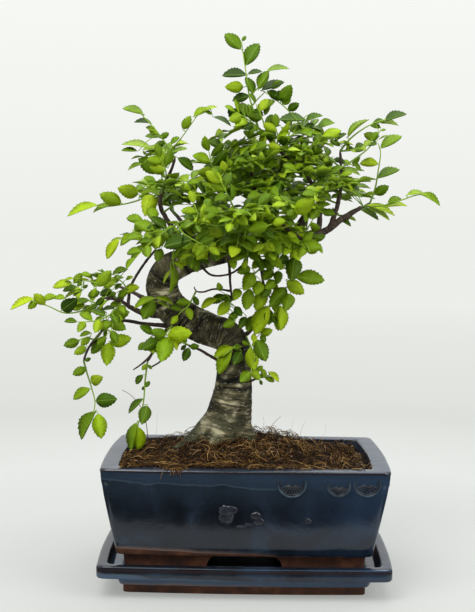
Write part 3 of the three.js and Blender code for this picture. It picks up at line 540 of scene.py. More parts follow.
def raiseDish(name, size, profile):
    # the first ring is a circle's, moved to the outline, and every row is one extrusion of its edge
    first = outlineRing(size, profile[0][0])
    dish = addPiece(bpy.ops.mesh.primitive_circle_add, vertices=len(first), radius=0.1, fill_type="NOTHING")
    dish.name = name
    for vert, (point, _) in zip(dish.data.vertices, first):
        vert.co = Vector((point.x, point.y, profile[0][1])) * mm
    with editing(dish):
        bpy.ops.mesh.edge_face_add()
        bpy.ops.mesh.select_mode(type="EDGE")
        work = bmesh.from_edit_mesh(dish.data)
        loop = sorted(work.verts, key=lambda vert: vert.index)
        for inset, height in profile[1:]:
            before = {(round(vert.co.x, 7), round(vert.co.y, 7)): spot for spot, vert in enumerate(loop)}
            bpy.ops.mesh.extrude_edges_move()
            work = bmesh.from_edit_mesh(dish.data)
            ring = outlineRing(size, inset)
            loop = [None] * len(ring)
            for vert in work.verts:
                if vert.select:
                    loop[before[(round(vert.co.x, 7), round(vert.co.y, 7))]] = vert
            for vert, (point, out) in zip(loop, ring):
                place = Vector((point.x, point.y, height))
                wave = place / size["waveSize"]
                swing = noise.noise(wave) + 0.4 * noise.noise(wave * 2.3)
                vert.co = (place + out * swing * size["wave"]) * mm
            bmesh.update_edit_mesh(dish.data)
        bpy.ops.mesh.edge_face_add()
        bpy.ops.mesh.select_all(action="SELECT")
        bpy.ops.mesh.normals_make_consistent(inside=False)
    return dish


def cutAway(piece, cutter):
    applyModifier(piece, "BOOLEAN", operation="DIFFERENCE", object=cutter, solver="EXACT")
    bpy.data.objects.remove(cutter)


def archCutter(width, length, turn):
    # a block as long as the pot, leaning in to a round-shouldered top
    rise = pot["archTop"] - pot["footBottom"]
    block = addPiece(bpy.ops.mesh.primitive_cube_add, size=1)
    block.scale = Vector((width, length + pot["archSpare"], rise + 4)) * mm
    block.location.z = (pot["footBottom"] + rise / 2 - 2) * mm
    settle(block)
    with editing(block):
        bpy.ops.mesh.select_mode(type="EDGE")
        bpy.ops.mesh.select_all(action="DESELECT")
        work = bmesh.from_edit_mesh(block.data)
        top = max(vert.co.z for vert in work.verts) - 1e-6
        for vert in work.verts:
            if vert.co.z > top:
                vert.co.x *= pot["archLean"]
        for edge in work.edges:
            one, other = [vert.co for vert in edge.verts]
            edge.select = min(one.z, other.z) > top and abs(one.x - other.x) < 1e-6
        bmesh.update_edit_mesh(block.data)
        bpy.ops.mesh.bevel(offset=pot["archCorner"] * mm, segments=6, affect="EDGES")
    block.rotation_euler.z = turn
    settle(block)
    return block


def makePot():
    piece = raiseDish("glazedPot", pot, pot["foot"] + pot["wall"] + pot["rim"])
    cutAway(piece, archCutter(pot["archWidth"], pot["depth"], 0))
    cutAway(piece, archCutter(pot["sideArchWidth"], pot["length"], math.pi / 2))
    for side in (-1, 1):
        hole = addPiece(bpy.ops.mesh.primitive_cylinder_add, vertices=40, radius=pot["holeRadius"] * mm,
                        depth=pot["holeCut"] * mm,
                        location=(side * pot["holeOffset"] * mm, 0, pot["holeZ"] * mm))
        settle(hole)
        cutAway(piece, hole)
    smoothShade(piece)
    dress(piece, "pot_glaze", glazeMaterial("navyGlaze", *pot["glaze"]))
    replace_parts(piece, "pot")


def makeSaucer():
    piece = raiseDish("glazedSaucer", saucer, saucer["profile"])
    smoothShade(piece)
    dress(piece, "saucer_glaze", glazeMaterial("saucerGlaze", *saucer["glaze"]))
    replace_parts(piece, "saucer")


makePot()
makeSaucer()
print("pot and saucer made")


# Relief on the pot's long walls: hanging fan scallops and thick beads of glaze

relief = {
    # each fan: across, down in the picture for its middle, and its radius in millimetres
    "fans": [(292, 484, 10.4), (339, 486, 8.4), (367.5, 484, 10.0)],
    "ribs": 9, "ribSpread": 66,
    # each bead: across, down, half width, half height, how far it stands out
    "beads": [(228, 510.5, 7.2, 4.6, 2.1), (226, 518, 6.0, 5.4, 2.2), (256, 516, 4.2, 3.2, 1.7),
              (259, 522, 4.4, 3.4, 1.6), (241, 527, 4.4, 1.4, 0.7), (249, 525, 3.2, 1.2, 0.6),
              (308, 521.5, 2.6, 2.4, 1.2)],
    "beadLumps": 0.22,
    # each glaze: the size of its clouds, roughness and colours
    "crestGlaze": (160, 0.34, (0.3, (0.008, 0.016, 0.028)), (0.55, (0.024, 0.044, 0.062)),
                   (0.8, (0.060, 0.095, 0.120))),
    "beadGlaze": (140, 0.3, (0.3, (0.005, 0.007, 0.012)), (0.7, (0.022, 0.025, 0.034))),
    "ribGlaze": (220, 0.3, (0.3, (0.010, 0.012, 0.018)), (0.7, (0.042, 0.044, 0.046))),
}


def wallInset(height):
    rows = pot["wall"]
    for (insetA, lowA), (insetB, lowB) in zip(rows, rows[1:]):
        if height <= lowB:
            return mixed(insetA, insetB, (height - lowA) / (lowB - lowA))
    return rows[-1][0]


def onFrontWall(across, down):
    # where the eye's line meets the front wall, and the wall's own upward way there
    depth = -pot["depth"] / 2
    for _ in range(4):
        point = seen(across, down, depth)
        share = point.x / (pot["length"] / 2 - pot["corner"])
        depth = -(pot["depth"] / 2 - wallInset(point.z) + pot["swell"] * (1 - share * share))
    up = Vector((0, -(wallInset(point.z - 4) - wallInset(point.z + 4)), 8)).normalized()
    return point, up


def layOnWall(piece, across, down):
    # a piece made flat on the XY plane is stood against the wall
    point, up = onFrontWall(across, down)
    right = Vector((1, 0, 0))
    turn = Matrix((right, up, right.cross(up))).transposed().to_4x4()
    piece.matrix_world = Matrix.Translation(point * mm) @ turn
    settle(piece)
    return piece


def makeArc(radius, thick, proud):
    arc = addPiece(bpy.ops.mesh.primitive_torus_add, major_radius=radius * mm, minor_radius=thick * mm,
                   major_segments=56, minor_segments=10)
    with editing(arc):
        bpy.ops.mesh.bisect(plane_co=(0, 0.25 * radius * mm, 0), plane_no=(0, 1, 0), use_fill=True,
                            clear_outer=True)
    arc.scale.z = proud / thick
    settle(arc)
    return arc


def makeRib(radius, turn):
    rib = addPiece(bpy.ops.mesh.primitive_cube_add, size=1)
    rib.scale = Vector((0.75, radius * 0.62, 0.9)) * mm
    rib.location = Vector((0, -radius * 0.5, 0)) * mm
    settle(rib)
    applyModifier(rib, "BEVEL", width=0.3 * mm, segments=3)
    rib.rotation_euler.z = turn
    settle(rib)
    return rib


def makeFan(radius, crestGlaze, ribGlaze):
    crest = makeArc(radius, 0.85, 0.75)
    crest.data.materials.append(crestGlaze)
    ribs = [makeArc(radius * 0.84, 0.45, 0.42)]
    for index in range(relief["ribs"]):
        turn = mixed(-relief["ribSpread"], relief["ribSpread"], index / (relief["ribs"] - 1))
        ribs.append(makeRib(radius, math.radians(turn)))
    for rib in ribs:
        rib.data.materials.append(ribGlaze)
    return joinPieces("fan", [crest, *ribs])


def makeRelief():
    crestGlaze = plainMaterial("thinBlueGlaze", *relief["crestGlaze"])
    beadGlaze = plainMaterial("thickGlaze", *relief["beadGlaze"])
    ribGlaze = plainMaterial("brownGlaze", *relief["ribGlaze"])
    pieces = [layOnWall(makeFan(radius, crestGlaze, ribGlaze), across, down)
              for across, down, radius in relief["fans"]]
    for across, down, *halves in relief["beads"]:
        bead = addPiece(bpy.ops.mesh.primitive_uv_sphere_add, segments=28, ring_count=16, radius=mm)
        bead.scale = halves
        settle(bead)
        for vert in bead.data.vertices:
            lump = noise.noise(vert.co * 420 + Vector((across, down, 0)))
            vert.co += vert.co * relief["beadLumps"] * lump
        bead.data.materials.append(beadGlaze)
        pieces.append(layOnWall(bead, across, down))
    front = joinPieces("reliefFront", pieces)
    back = front.copy()  # the hidden long wall carries the same figure
    back.data = front.data.copy()
    bpy.context.collection.objects.link(back)
    back.rotation_euler.z = math.pi
    settle(back)
    both = joinPieces("wallRelief", [front, back])
    smoothShade(both, 50)
    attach(both, "root")


makeRelief()
print("relief laid on the pot")


# Soil: a mound of peat with crumbs, brown fibres and a few stray stalks

soil = {
    "edge": 98, "crown": 15, "moundX": -5, "reachX": 95, "reachY": 62, "dropBack": 4.5, "dropRight": 1.5,
    "rough": 0.9, "bottom": 52, "wallLean": 6.5, "inset": 14.6, "gridX": 210, "gridY": 140,
    "lumps": [(0.11, 1.4), (0.28, 1.1), (0.75, 0.55)],  # waves in a millimetre, and height
    "crumbs": 1100, "crumbSize": (0.5, 1.7),
    "fibres": 3600, "fibreLength": (6, 26), "fibreThick": (0.12, 0.34), "fibreRise": 3.6,
    "spillFibres": 620, "spillLeft": -94, "spillRight": 30,
    "tuftFibres": 85, "tuft": (177, 470, -66), "tuftReach": 6, "tuftThick": (0.12, 0.3), "tuftSway": 7,
    "cornerTuck": 0.012, "edgeSink": 1.2,
    # a fibre on the mound: how it's cut and lies, how it arches or lifts one end, and how far past the soil's
    # side, front and back it may reach
    "fibreSteps": 5, "fibreCuts": (0.5, 0.75, 1), "fibreFlat": 0.8, "fibreLift": (0.0, 0.9),
    "fibreArch": 1.3,
    "tipLift": 1.4, "tipLiftFrom": 2.0, "fibreSunk": 0.15, "past": (3, 4, 2), "overRim": 0.35,
    "fibreTone": (0.42, 0.34),
    # a spilled fibre: its share on the front rim, how far out it starts and how it lies
    "spillLength": (5, 15), "spillFlat": 0.5, "spillFront": 0.72, "spillCrowd": 1.4, "spillOut": (-4, 7),
    "spillSideIn": (-1, 8), "spillSideBack": (0, 46), "spillLift": (0.2, 2.2), "spillFar": 12,
    "spillArch": 1.2,
    "spillTone": (0.5, 0.28),
    # a fibre of the tuft that hangs over the front rim
    "tuftIn": (-1, 4), "tuftLift": (0.4, 2.5), "tuftLength": (6, 24), "tuftDrop": 1.1,
    "tuftTone": (0.2, 0.95),
    "seed": 41,
    "peat": [(0.32, (0.003, 0.002, 0.001)), (0.5, (0.012, 0.006, 0.002)), (0.66, (0.045, 0.022, 0.007)),
             (0.8, (0.11, 0.06, 0.02))],
    "crumbColours": [(0.0, (0.008, 0.005, 0.003)), (0.7, (0.06, 0.032, 0.015)), (1.0, (0.16, 0.11, 0.06))],
    "fibreColours": [(0.0, (0.006, 0.003, 0.001)), (0.35, (0.032, 0.015, 0.004)), (0.6, (0.11, 0.05, 0.011)),
                     (0.85, (0.33, 0.17, 0.045)), (1.0, (0.56, 0.35, 0.13))],
    "fibreCloud": (300, (0.3, 0.48), (0.7, 1.0)),
    "stalkColours": [(0.3, (0.10, 0.10, 0.09)), (0.7, (0.42, 0.30, 0.16)), (0.85, (0.40, 0.36, 0.28)),
                     (0.95, (0.20, 0.085, 0.06))],
    "stalkSteps": 12, "stalkRoot": 2,
    # stalks that stick up: places in the picture with a depth, thickness, and how red or tan
    "stalks": [
        ([(147.5, 435, 46), (146, 422, 46), (142, 409, 45), (134, 398, 44), (128, 393, 43),
          (122, 390, 42)], 0.44, 0.95),
        ([(268, 432, 8), (273, 424, 6), (281, 416, 4)], 0.30, 0.72),
        ([(190, 436, 9), (193, 428, 9), (195, 425, 9)], 0.2, 0.6),
        ([(156, 436, 40), (157, 424, 40), (157, 413, 40)], 0.12, 0.75),
        ([(263, 431, 10), (264, 421, 10), (263, 417, 10)], 0.16, 0.3),
        ([(300, 436, 11), (303, 426, 9), (306, 421, 9)], 0.13, 0.35),
        ([(289, 434, 14), (292, 427, 14), (294, 418, 14)], 0.1, 0.8),
        ([(322, 441, 20), (325, 432, 20), (326, 424, 20)], 0.1, 0.7),
        ([(341, 448, 44), (345, 439, 44), (347, 433, 44)], 0.1, 0.7),
    ],
}


def soilTop(x, y):
    out = math.hypot((x - soil["moundX"]) / soil["reachX"], y / soil["reachY"])
    heap = soil["crown"] * (1 - smoothStep(out, 0.22, 1.02))
    drop = soil["dropBack"] * smoothStep(y, 10, 60) + soil["dropRight"] * smoothStep(x, 20, 90)
    rough = soil["rough"] * math.sin(x * 0.31 + y * 0.17) * math.cos(y * 0.29 - x * 0.11)
    return soil["edge"] + heap - drop + rough


def soilSkin(x, y):
    place = Vector((x, y, 0))
    return soilTop(x, y) + sum(noise.noise(place * waves) * height for waves, height in soil["lumps"])


def soilHalf():
    return pot["length"] / 2 - soil["inset"], pot["depth"] / 2 - soil["inset"]


def makeSoilBed():
    halfX, halfY = soilHalf()
    bed = addPiece(bpy.ops.mesh.primitive_grid_add, x_subdivisions=soil["gridX"],
                   y_subdivisions=soil["gridY"], size=2)
    bed.name = "soilBed"
    for vert in bed.data.vertices:
        u, v = vert.co.x, vert.co.y
        tuck = 1 - soil["cornerTuck"] * (abs(u) * abs(v)) ** 8
        x = u * tuck * (halfX + pot["swell"] * (1 - v * v))
        y = v * tuck * (halfY + pot["swell"] * (1 - u * u))
        sink = soil["edgeSink"] * smoothStep(max(abs(u), abs(v)), 0.97, 1.0)
        vert.co = Vector((x, y, soilSkin(x, y) - sink)) * mm
    lean = soil["wallLean"] * mm
    with editing(bed):
        bpy.ops.mesh.extrude_region_move()
        work = bmesh.from_edit_mesh(bed.data)
        for vert in work.verts:
            if vert.select:
                vert.co.x -= math.copysign(lean, vert.co.x) * (abs(vert.co.x) > halfX * 0.9 * mm)
                vert.co.y -= math.copysign(lean, vert.co.y) * (abs(vert.co.y) > halfY * 0.9 * mm)
                vert.co.z = soil["bottom"] * mm
        bmesh.update_edit_mesh(bed.data)
        bpy.ops.mesh.select_all(action="SELECT")
        bpy.ops.mesh.normals_make_consistent(inside=False)
    smoothShade(bed, 60)
    material = startMaterial("peatMix")
    place, _ = objectPlace()
    shade(ramp(grain(place, 380, detail=6), *soil["peat"]), rough=0.95, specular=0.08)
    bumpy(grain(place, 700), 1.0, 0.0012)
    dress(bed, "soil", material)
    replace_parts(bed, "soil")


# Tubes along a path, gathered in one heap of points and faces for each piece

def newHeap():
    return {"points": [], "faces": [], "places": [], "tones": [], "slots": []}


def carried(points):
    # a frame at every point of a path, carried along it without twisting
    frames = []
    side = None
    for spot, point in enumerate(points):
        ahead = points[min(spot + 1, len(points) - 1)] - points[max(spot - 1, 0)]
        tangent = ahead.normalized()
        if side is None:
            side = tangent.orthogonal().normalized()
        side = (side - tangent * side.dot(tangent)).normalized()
        frames.append((point, tangent, side, tangent.cross(side)))
    return frames


def addTube(heap, points, radii, sides, tones, slot=0, lumps=0.0):
    start = len(heap["points"])
    run = 0
    for spot, (point, _, side, across) in enumerate(carried(points)):
        run += (point - points[spot - 1]).length if spot else 0
        for corner in range(sides):
            turn = corner / sides * 2 * math.pi
            way = side * math.cos(turn) + across * math.sin(turn)
            radius = radii[spot]
            if lumps:
                radius *= 1 + lumps * noise.noise((point + way * radius) * 0.35)
            heap["points"].append(point + way * radius)
            heap["places"].append((radius * math.cos(turn), radius * math.sin(turn), run))
            heap["tones"].append(tones[spot] if isinstance(tones, list) else tones)
    rings = len(points)
    for ring in range(rings - 1):
        for corner in range(sides):
            after = (corner + 1) % sides
            a, b = start + ring * sides, start + (ring + 1) * sides
            heap["faces"].append((a + corner, a + after, b + after, b + corner))
            heap["slots"].append(slot)
    last = start + (rings - 1) * sides
    heap["faces"] += [tuple(start + corner for corner in reversed(range(sides))),
                      tuple(last + corner for corner in range(sides))]
    heap["slots"] += [slot, slot]


def heapPiece(name, heap):
    piece = linkMesh(name, heap["points"], heap["faces"])
    keepValues(piece, "tone", heap["tones"])
    keepPlaces(piece, [value * mm for triple in heap["places"] for value in triple])
    piece.data.polygons.foreach_set("material_index", heap["slots"])
    smoothFaces(piece)
    return piece


def anyWay(chance, flat):
    turn = chance.uniform(0, 2 * math.pi)
    return Vector((math.cos(turn), math.sin(turn) * flat, 0)).normalized()


def strand(chance, start, heading, length):
    # a curled fibre: points that wander about a heading
    thick = chance.uniform(*soil["fibreThick"])
    points = [start]
    way = heading
    steps = soil["fibreSteps"]
    for _ in range(steps):
        way = (way + Vector((chance.uniform(-0.5, 0.5), chance.uniform(-0.5, 0.5), 0))).normalized()
        points.append(points[-1] + way * (length / steps))
    radii = [thick * (1 - 0.45 * abs(2 * spot / steps - 1)) for spot in range(steps + 1)]
    return points, radii


def layFibres(heap, chance):
    # all over the mound
    halfX, halfY = soilHalf()
    pastSide, pastFront, pastBack = soil["past"]
    steps = soil["fibreSteps"]
    for _ in range(soil["fibres"]):
        x = chance.uniform(-halfX + 1, halfX - 1)
        y = chance.uniform(-halfY + 1, halfY - 1)
        heading = anyWay(chance, soil["fibreFlat"])
        length = chance.uniform(*soil["fibreLength"]) * chance.choice(soil["fibreCuts"])
        heading *= -1 if heading.x * x > 0 and abs(x) > halfX - length else 1
        rise = soil["fibreRise"] * chance.uniform(0.1, 1.0) ** 2
        tipLift = rise * soil["tipLift"] if rise > soil["tipLiftFrom"] else 0
        points, radii = strand(chance, Vector((x, y, 0)), heading, length)
        height = chance.uniform(*soil["fibreLift"])
        for spot, point in enumerate(points):
            point.x = clamp(point.x, -halfX - pastSide, halfX + pastSide)
            point.y = clamp(point.y, -halfY - pastFront, halfY + pastBack)
            skin = soilSkin(clamp(point.x, -halfX, halfX), clamp(point.y, -halfY, halfY))
            arch = rise * math.sin(math.pi * spot / steps) * soil["fibreArch"]
            point.z = skin + height + arch + tipLift * spot / steps - soil["fibreSunk"]
            if point.y < -halfY or abs(point.x) > halfX:
                point.z = max(point.z, rimTop + soil["overRim"])
        addTube(heap, points, radii, 3, clamp(chance.gauss(*soil["fibreTone"])))


def spillFibres(heap, chance):
    # over the front rim on the left, and over the left rim near it
    halfX, halfY = soilHalf()
    for _ in range(soil["spillFibres"]):
        length = chance.uniform(*soil["spillLength"])
        heading = anyWay(chance, soil["spillFlat"])
        if chance.random() < soil["spillFront"]:
            x = mixed(soil["spillLeft"], soil["spillRight"], chance.random() ** soil["spillCrowd"])
            start = Vector((x, -halfY - chance.uniform(*soil["spillOut"]) * (1 - 0.4 * chance.random()), 0))
        else:
            x = -halfX + chance.uniform(*soil["spillSideIn"])
            start = Vector((x, -halfY + chance.uniform(*soil["spillSideBack"]), 0))
        points, radii = strand(chance, start, heading, length)
        lie = rimTop + chance.uniform(*soil["spillLift"])
        for spot, point in enumerate(points):
            point.x = max(point.x, -halfX + chance.uniform(-1, 3))
            point.y = max(point.y, -halfY - soil["spillFar"])
            point.z = lie + soil["spillArch"] * math.sin(math.pi * spot / soil["fibreSteps"])
        addTube(heap, points, radii, 3, clamp(chance.gauss(*soil["spillTone"])))


def hangTuft(heap, chance):
    _, halfY = soilHalf()
    foot = seen(*soil["tuft"])
    rimEdge = -pot["depth"] / 2 - pot["swell"]
    steps = soil["fibreSteps"]
    for _ in range(soil["tuftFibres"]):
        x = foot.x + chance.uniform(-1, 1) * soil["tuftReach"]
        y = -halfY + chance.uniform(*soil["tuftIn"])
        start = Vector((x, y, rimTop + chance.uniform(*soil["tuftLift"])))
        out = chance.uniform(*soil["tuftLength"])
        points = [start]
        sway = chance.uniform(-1, 1) * soil["tuftSway"]
        for step in range(1, steps + 1):
            share = step / steps
            y = start.y - out * share
            over = max(rimEdge - y, 0)
            z = start.z * (1 - share) + (rimTop + 0.5) * share - over * soil["tuftDrop"]
            curl = chance.uniform(-1, 1)
            points.append(Vector((x + sway * share + curl, max(y, rimEdge - 2.5 + curl), z)))
        radii = [chance.uniform(*soil["tuftThick"])] * (steps + 1)
        addTube(heap, points, radii, 3, chance.uniform(*soil["tuftTone"]))


def makeFibres():
    chance = random.Random(soil["seed"])
    heap = newHeap()
    layFibres(heap, chance)
    spillFibres(heap, chance)
    hangTuft(heap, chance)
    material = tonedMaterial("coirFibre", soil["fibreColours"], 0.75, 0.15, soil["fibreCloud"])
    dress(heapPiece("soilFibres", heap), "soil", material)


def makeCrumbs():
    # one rough crumb, copied over the soil at many sizes
    chance = random.Random(soil["seed"] + 1)
    halfX, halfY = soilHalf()
    crumb = addPiece(bpy.ops.mesh.primitive_ico_sphere_add, subdivisions=1, radius=mm)
    for vert in crumb.data.vertices:
        vert.co *= 1 + 0.45 * noise.noise(vert.co * 900)
    points, faces, tones = [], [], []
    shape = [vert.co / mm for vert in crumb.data.vertices]
    sides = [tuple(face.vertices) for face in crumb.data.polygons]
    for _ in range(soil["crumbs"]):
        x = chance.uniform(-halfX + 2, halfX - 2)
        y = chance.uniform(-halfY + 2, halfY - 2)
        size = chance.uniform(*soil["crumbSize"])
        spin = Matrix.Rotation(chance.uniform(0, 6.28), 3, "Z")
        turn = spin @ Matrix.Rotation(chance.uniform(0, 6.28), 3, "X")
        start = len(points)
        points += [Vector((x, y, soilSkin(x, y) + size * 0.3)) + turn @ (spot * size) for spot in shape]
        faces += [tuple(start + corner for corner in side) for side in sides]
        tones += [chance.uniform(0, 1)] * len(shape)
    bpy.data.objects.remove(crumb)
    crumbs = linkMesh("soilCrumbs", points, faces)
    keepValues(crumbs, "tone", tones)
    material = tonedMaterial("peatCrumb", soil["crumbColours"], 0.95)
    bumpy(grain(objectPlace()[0], 900), 0.8, 0.0006)
    dress(crumbs, "soil", material)


def makeStalks():
    heap = newHeap()
    shares = [step / soil["stalkSteps"] for step in range(soil["stalkSteps"] + 1)]
    for rows, thick, tone in soil["stalks"]:
        foot = seen(*rows[0])
        foot.z = soilTop(foot.x, foot.y) - soil["stalkRoot"]  # every stalk is rooted in the mix
        path = smoothPath([foot] + [seen(*row) for row in rows])
        points = [pathPoint(path, share) for share in shares]
        addTube(heap, points, [thick * (1 - 0.5 * share) for share in shares], 5, tone)
    dress(heapPiece("strayStalks", heap), "soil", tonedMaterial("dryStalk", soil["stalkColours"], 0.6))


# Curves through points, followed by length

def runsOf(points):
    # how far along the way every point lies
    steps = [(after - before).length for before, after in zip(points, points[1:])]
    return list(itertools.accumulate(steps, initial=0.0))


def smoothPath(points, perSpan=24):
    # a centripetal curve through the points, as a close chain with its lengths
    chain = []
    for span in range(len(points) - 1):
        p1, p2 = points[span], points[span + 1]
        p0 = points[span - 1] if span else p1 * 2 - p2
        p3 = points[span + 2] if span + 2 < len(points) else p2 * 2 - p1
        d0, d1, d2 = [(after - before).length ** 0.5 for before, after in ((p0, p1), (p1, p2), (p2, p3))]
        m1 = ((p1 - p0) / d0 - (p2 - p0) / (d0 + d1) + (p2 - p1) / d1) * d1
        m2 = ((p2 - p1) / d1 - (p3 - p1) / (d1 + d2) + (p3 - p2) / d2) * d1
        for step in range(perSpan):
            t = step / perSpan
            chain.append(p1 + m1 * t + (p2 * 3 - p1 * 3 - m1 * 2 - m2) * t ** 2
                         + (p1 * 2 - p2 * 2 + m1 + m2) * t ** 3)
    chain.append(points[-1].copy())
    lengths = runsOf(chain)
    return {"chain": chain, "lengths": lengths, "length": lengths[-1]}


def spotOn(path, share):
    # the chain's link at a share of the path's length, and how far along that link it lies
    run = share * path["length"]
    spot = clamp(bisect.bisect_right(path["lengths"], run) - 1, 0, len(path["chain"]) - 2)
    low, high = path["lengths"][spot:spot + 2]
    return spot, (run - low) / (high - low)


def pathPoint(path, share):
    spot, onward = spotOn(path, clamp(share))
    return path["chain"][spot].lerp(path["chain"][spot + 1], onward)


def pathWay(path, share, reach=0.01):
    return (pathPoint(path, share + reach) - pathPoint(path, share - reach)).normalized()


def alongRows(values, path, points, share):
    # a row's value, such as a diameter, at a share of the path's length
    perSpan = (len(path["chain"]) - 1) // (len(points) - 1)
    spot, onward = spotOn(path, share)
    place = (spot + onward) / perSpan
    index = min(int(place), len(values) - 2)
    return mixed(values[index], values[index + 1], place - index)


# Wood: the trunk with its root flare as one even skin, and branches and twigs that taper from it.
# A row is a place in the picture (across, down), a depth and a diameter

trunk = {
    "line": [
        (226, 432, 2, 45), (230, 411, 1, 36), (233, 391, 0, 31.5), (234, 371, 0, 28.5), (235.5, 354, 0, 26),
        (228, 337, 0, 26.5), (210, 330, 1, 27.5), (187, 319, 2, 27.5), (169.5, 305, 2, 26.5),
        (162, 287, 0, 26.5), (166.5, 271.5, -4, 25), (181, 263, -7, 22.5), (200, 258, -8, 19.5),
        (225, 254, -7, 15), (250, 250, -4, 10.5), (272, 245, -2, 8.5), (300, 240, 2, 7), (327, 230, 5, 6),
        (341, 219.5, 6, 5.4), (352, 213, 7, 4.6), (362, 206.5, 8, 3),
    ],
    "roots": [
        [(214, 423, -4, 22), (197, 437, -9, 15), (181, 448, -14, 9), (166, 456, -18, 5)],
        [(240, 428, -4, 20), (253, 441, -12, 11), (266, 452, -18, 5)],
        [(222, 428, -8, 20), (216, 445, -20, 12), (208, 459, -30, 6)],
        [(232, 426, 8, 20), (236, 437, 22, 11), (240, 446, 34, 5)],
        [(218, 426, 8, 18), (204, 437, 20, 10), (192, 445, 30, 5)],
    ],
    "buriedZ": 70, "voxel": 1.05, "smoothing": 4,
    # across, down, depth, size and height of the stubs and scars that stand out of the bark
    "knots": [(258, 392, -8, 4.5, 1.6), (256, 345, -6, 5, 2.2), (152, 283, -8, 4, 1.2),
              (224, 398, -15, 4.5, 1.0), (205, 322, -12, 5, 1.3), (246, 402, -13, 3.6, 1.1),
              (176, 276, -15, 4.4, 1.1), (186, 330, -12, 5, 1.2), (244, 418, -14, 4.5, 1.3),
              (163, 300, -13, 5, 1.2)],
}
branches = {
    "apexTwig": [(318, 233, 4, 5), (320, 214, 6, 4), (317, 197, 6, 3.4), (310.7, 181.4, 5, 3),
                 (298, 169, 4, 2.7), (289, 160, 2, 2.4), (277, 148, 0, 2.2), (266, 136, -1, 2.1),
                 (258, 127, -2, 1.9)],
    "leftArm": [(170, 315, 0, 7), (154, 315, -6, 5.2), (143, 313, -9, 4.4), (131.6, 308, -12, 3.8),
                (124, 303, -14, 3.2), (115, 299, -16, 2.6), (104, 298, -18, 2.2)],
    "leftLow": [(172, 326, 0, 5), (157, 325, 5, 3.6), (143, 323.5, 8, 3), (124.5, 320.6, 6, 2.6),
                (108, 325, 0, 2.4), (98, 336, -6, 2.2), (88, 349, -10, 2), (83.7, 361, -12, 1.9)],
    "leftRiser": [(128, 306, -13, 3), (130.6, 287, -8, 2.4), (143, 265.5, 2, 2.2), (156, 249, 8, 2)],
    "leftBackArm": [(160, 305, 4, 6), (146, 299, 22, 4), (132, 292, 40, 3), (118, 286, 54, 2.2)],
    "underTwig": [(176, 318, 0, 4), (163, 335, -8, 2.8), (154, 350, -12, 2.3), (147.5, 361.6, -13, 1.9)],
    "underSpurLeft": [(154, 352, -12, 2), (143, 363, -13, 1.6), (133, 370, -14, 1.2)],
    "underSpurRight": [(155, 350, -12, 2), (162, 359, -11, 1.6), (150, 368, -12, 1.2)],
    "innerTwig": [(229, 364, 0, 4), (214, 358, -6, 2.6), (199, 349.4, -9, 2.2), (188, 345, -10, 1.9)],
    "lowStub": [(240, 380, -3, 3.4), (249, 381, -7, 2.4), (256, 379, -10, 1.9)],
    "elbowTwig": [(238, 340, -2, 5), (249, 332, -6, 3.2), (260, 322, -9, 2.4), (270, 316, -10, 2)],
    "hangingTwig": [(257, 247, -4, 3.4), (260, 262, -14, 2.4), (263.6, 284, -18, 2), (268, 294, -18, 1.8)],
    "outerTwig": [(276, 244, -2, 3.4), (284, 254, -12, 2.4), (287, 268, -16, 2)],
    "innerHanger": [(229, 256, -7, 3), (230.4, 284, -11, 2), (232, 300, -12, 1.8)],
    "curlTwig": [(200, 264, -10, 2.6), (210, 274.5, -17, 1.8), (221, 275.7, -18, 1.6), (234, 272, -17, 1.6),
                 (246, 262, -12, 2)],
    "hookTwig": [(231, 291, -11, 2), (214, 289, -14, 1.6), (203, 292, -15, 1.4), (196, 291, -15, 1.3),
                 (194, 286.6, -15, 1.2)],
    "leftUp": [(196, 259, -8, 7), (181, 238, -4, 5), (167, 220, 0, 4), (160, 204, 3, 3.4), (163, 188, 4, 3),
               (172, 168, 3, 2.4), (175, 158, 1, 2)],
    "leftBack": [(204, 257, -6, 7), (195, 238, 14, 4.6), (182, 222, 32, 3.4), (170, 208, 48, 2.4)],
    "leftFront": [(206, 259, -8, 6), (197, 245, -22, 4.2), (186, 233, -36, 3), (177, 224, -50, 2.2)],
    "centreUp": [(229, 253, -6, 7), (231, 230, 0, 5), (224, 206, 4, 4), (216, 182, 3, 3),
                 (212, 163, 0, 2.2)],
    "centreBack": [(240, 251, -4, 6.5), (246, 228, 18, 4.4), (250, 206, 38, 3.2), (250, 186, 54, 2.2)],
    "centreFront": [(240, 251, -6, 6), (243, 236, -22, 4.2), (240, 222, -38, 3), (236, 212, -54, 2.2)],
    "middleUp": [(262, 247, -3, 6), (263, 222, 4, 4.4), (256, 194, 7, 3.2), (250, 168, 5, 2.2)],
    "rightBack": [(300, 240, 2, 5.5), (304, 222, 20, 4), (311, 205, 38, 3), (317, 190, 52, 2.2)],
    "rightFront": [(288, 242, 0, 5.5), (296, 228, -20, 4), (305, 213, -38, 3), (312, 198, -52, 2.2)],
    "rightFork": [(352, 213, 7, 3.4), (362, 208, 15, 2.4), (370, 203, 18, 2)],
    "rightUp": [(330, 228, 5, 5), (337, 207, 8, 3.6), (341, 186, 6, 2.8), (341, 168, 5, 2.4),
                (340, 151, 4, 2)],
    "frontStub": [(263, 231, -32, 4), (275, 222, -42, 3.2), (290, 231, -50, 2.8), (304, 241, -54, 2.2)],
    "frontStubRoot": [(252, 248, -5, 4.4), (256, 240, -20, 3.6), (264, 230, -34, 3)],
}
twigLook = {"step": 2.2, "sides": 9, "knobbly": 0.28}


def rowPath(rows, buriedZ=None):
    points = [seen(*row[:3]) for row in rows]
    widths = [row[3] for row in rows]
    if buriedZ is not None:
        points.insert(0, Vector((points[0].x, points[0].y, buriedZ)))
        widths.insert(0, widths[0] * 0.7)
    return smoothPath(points), points, widths


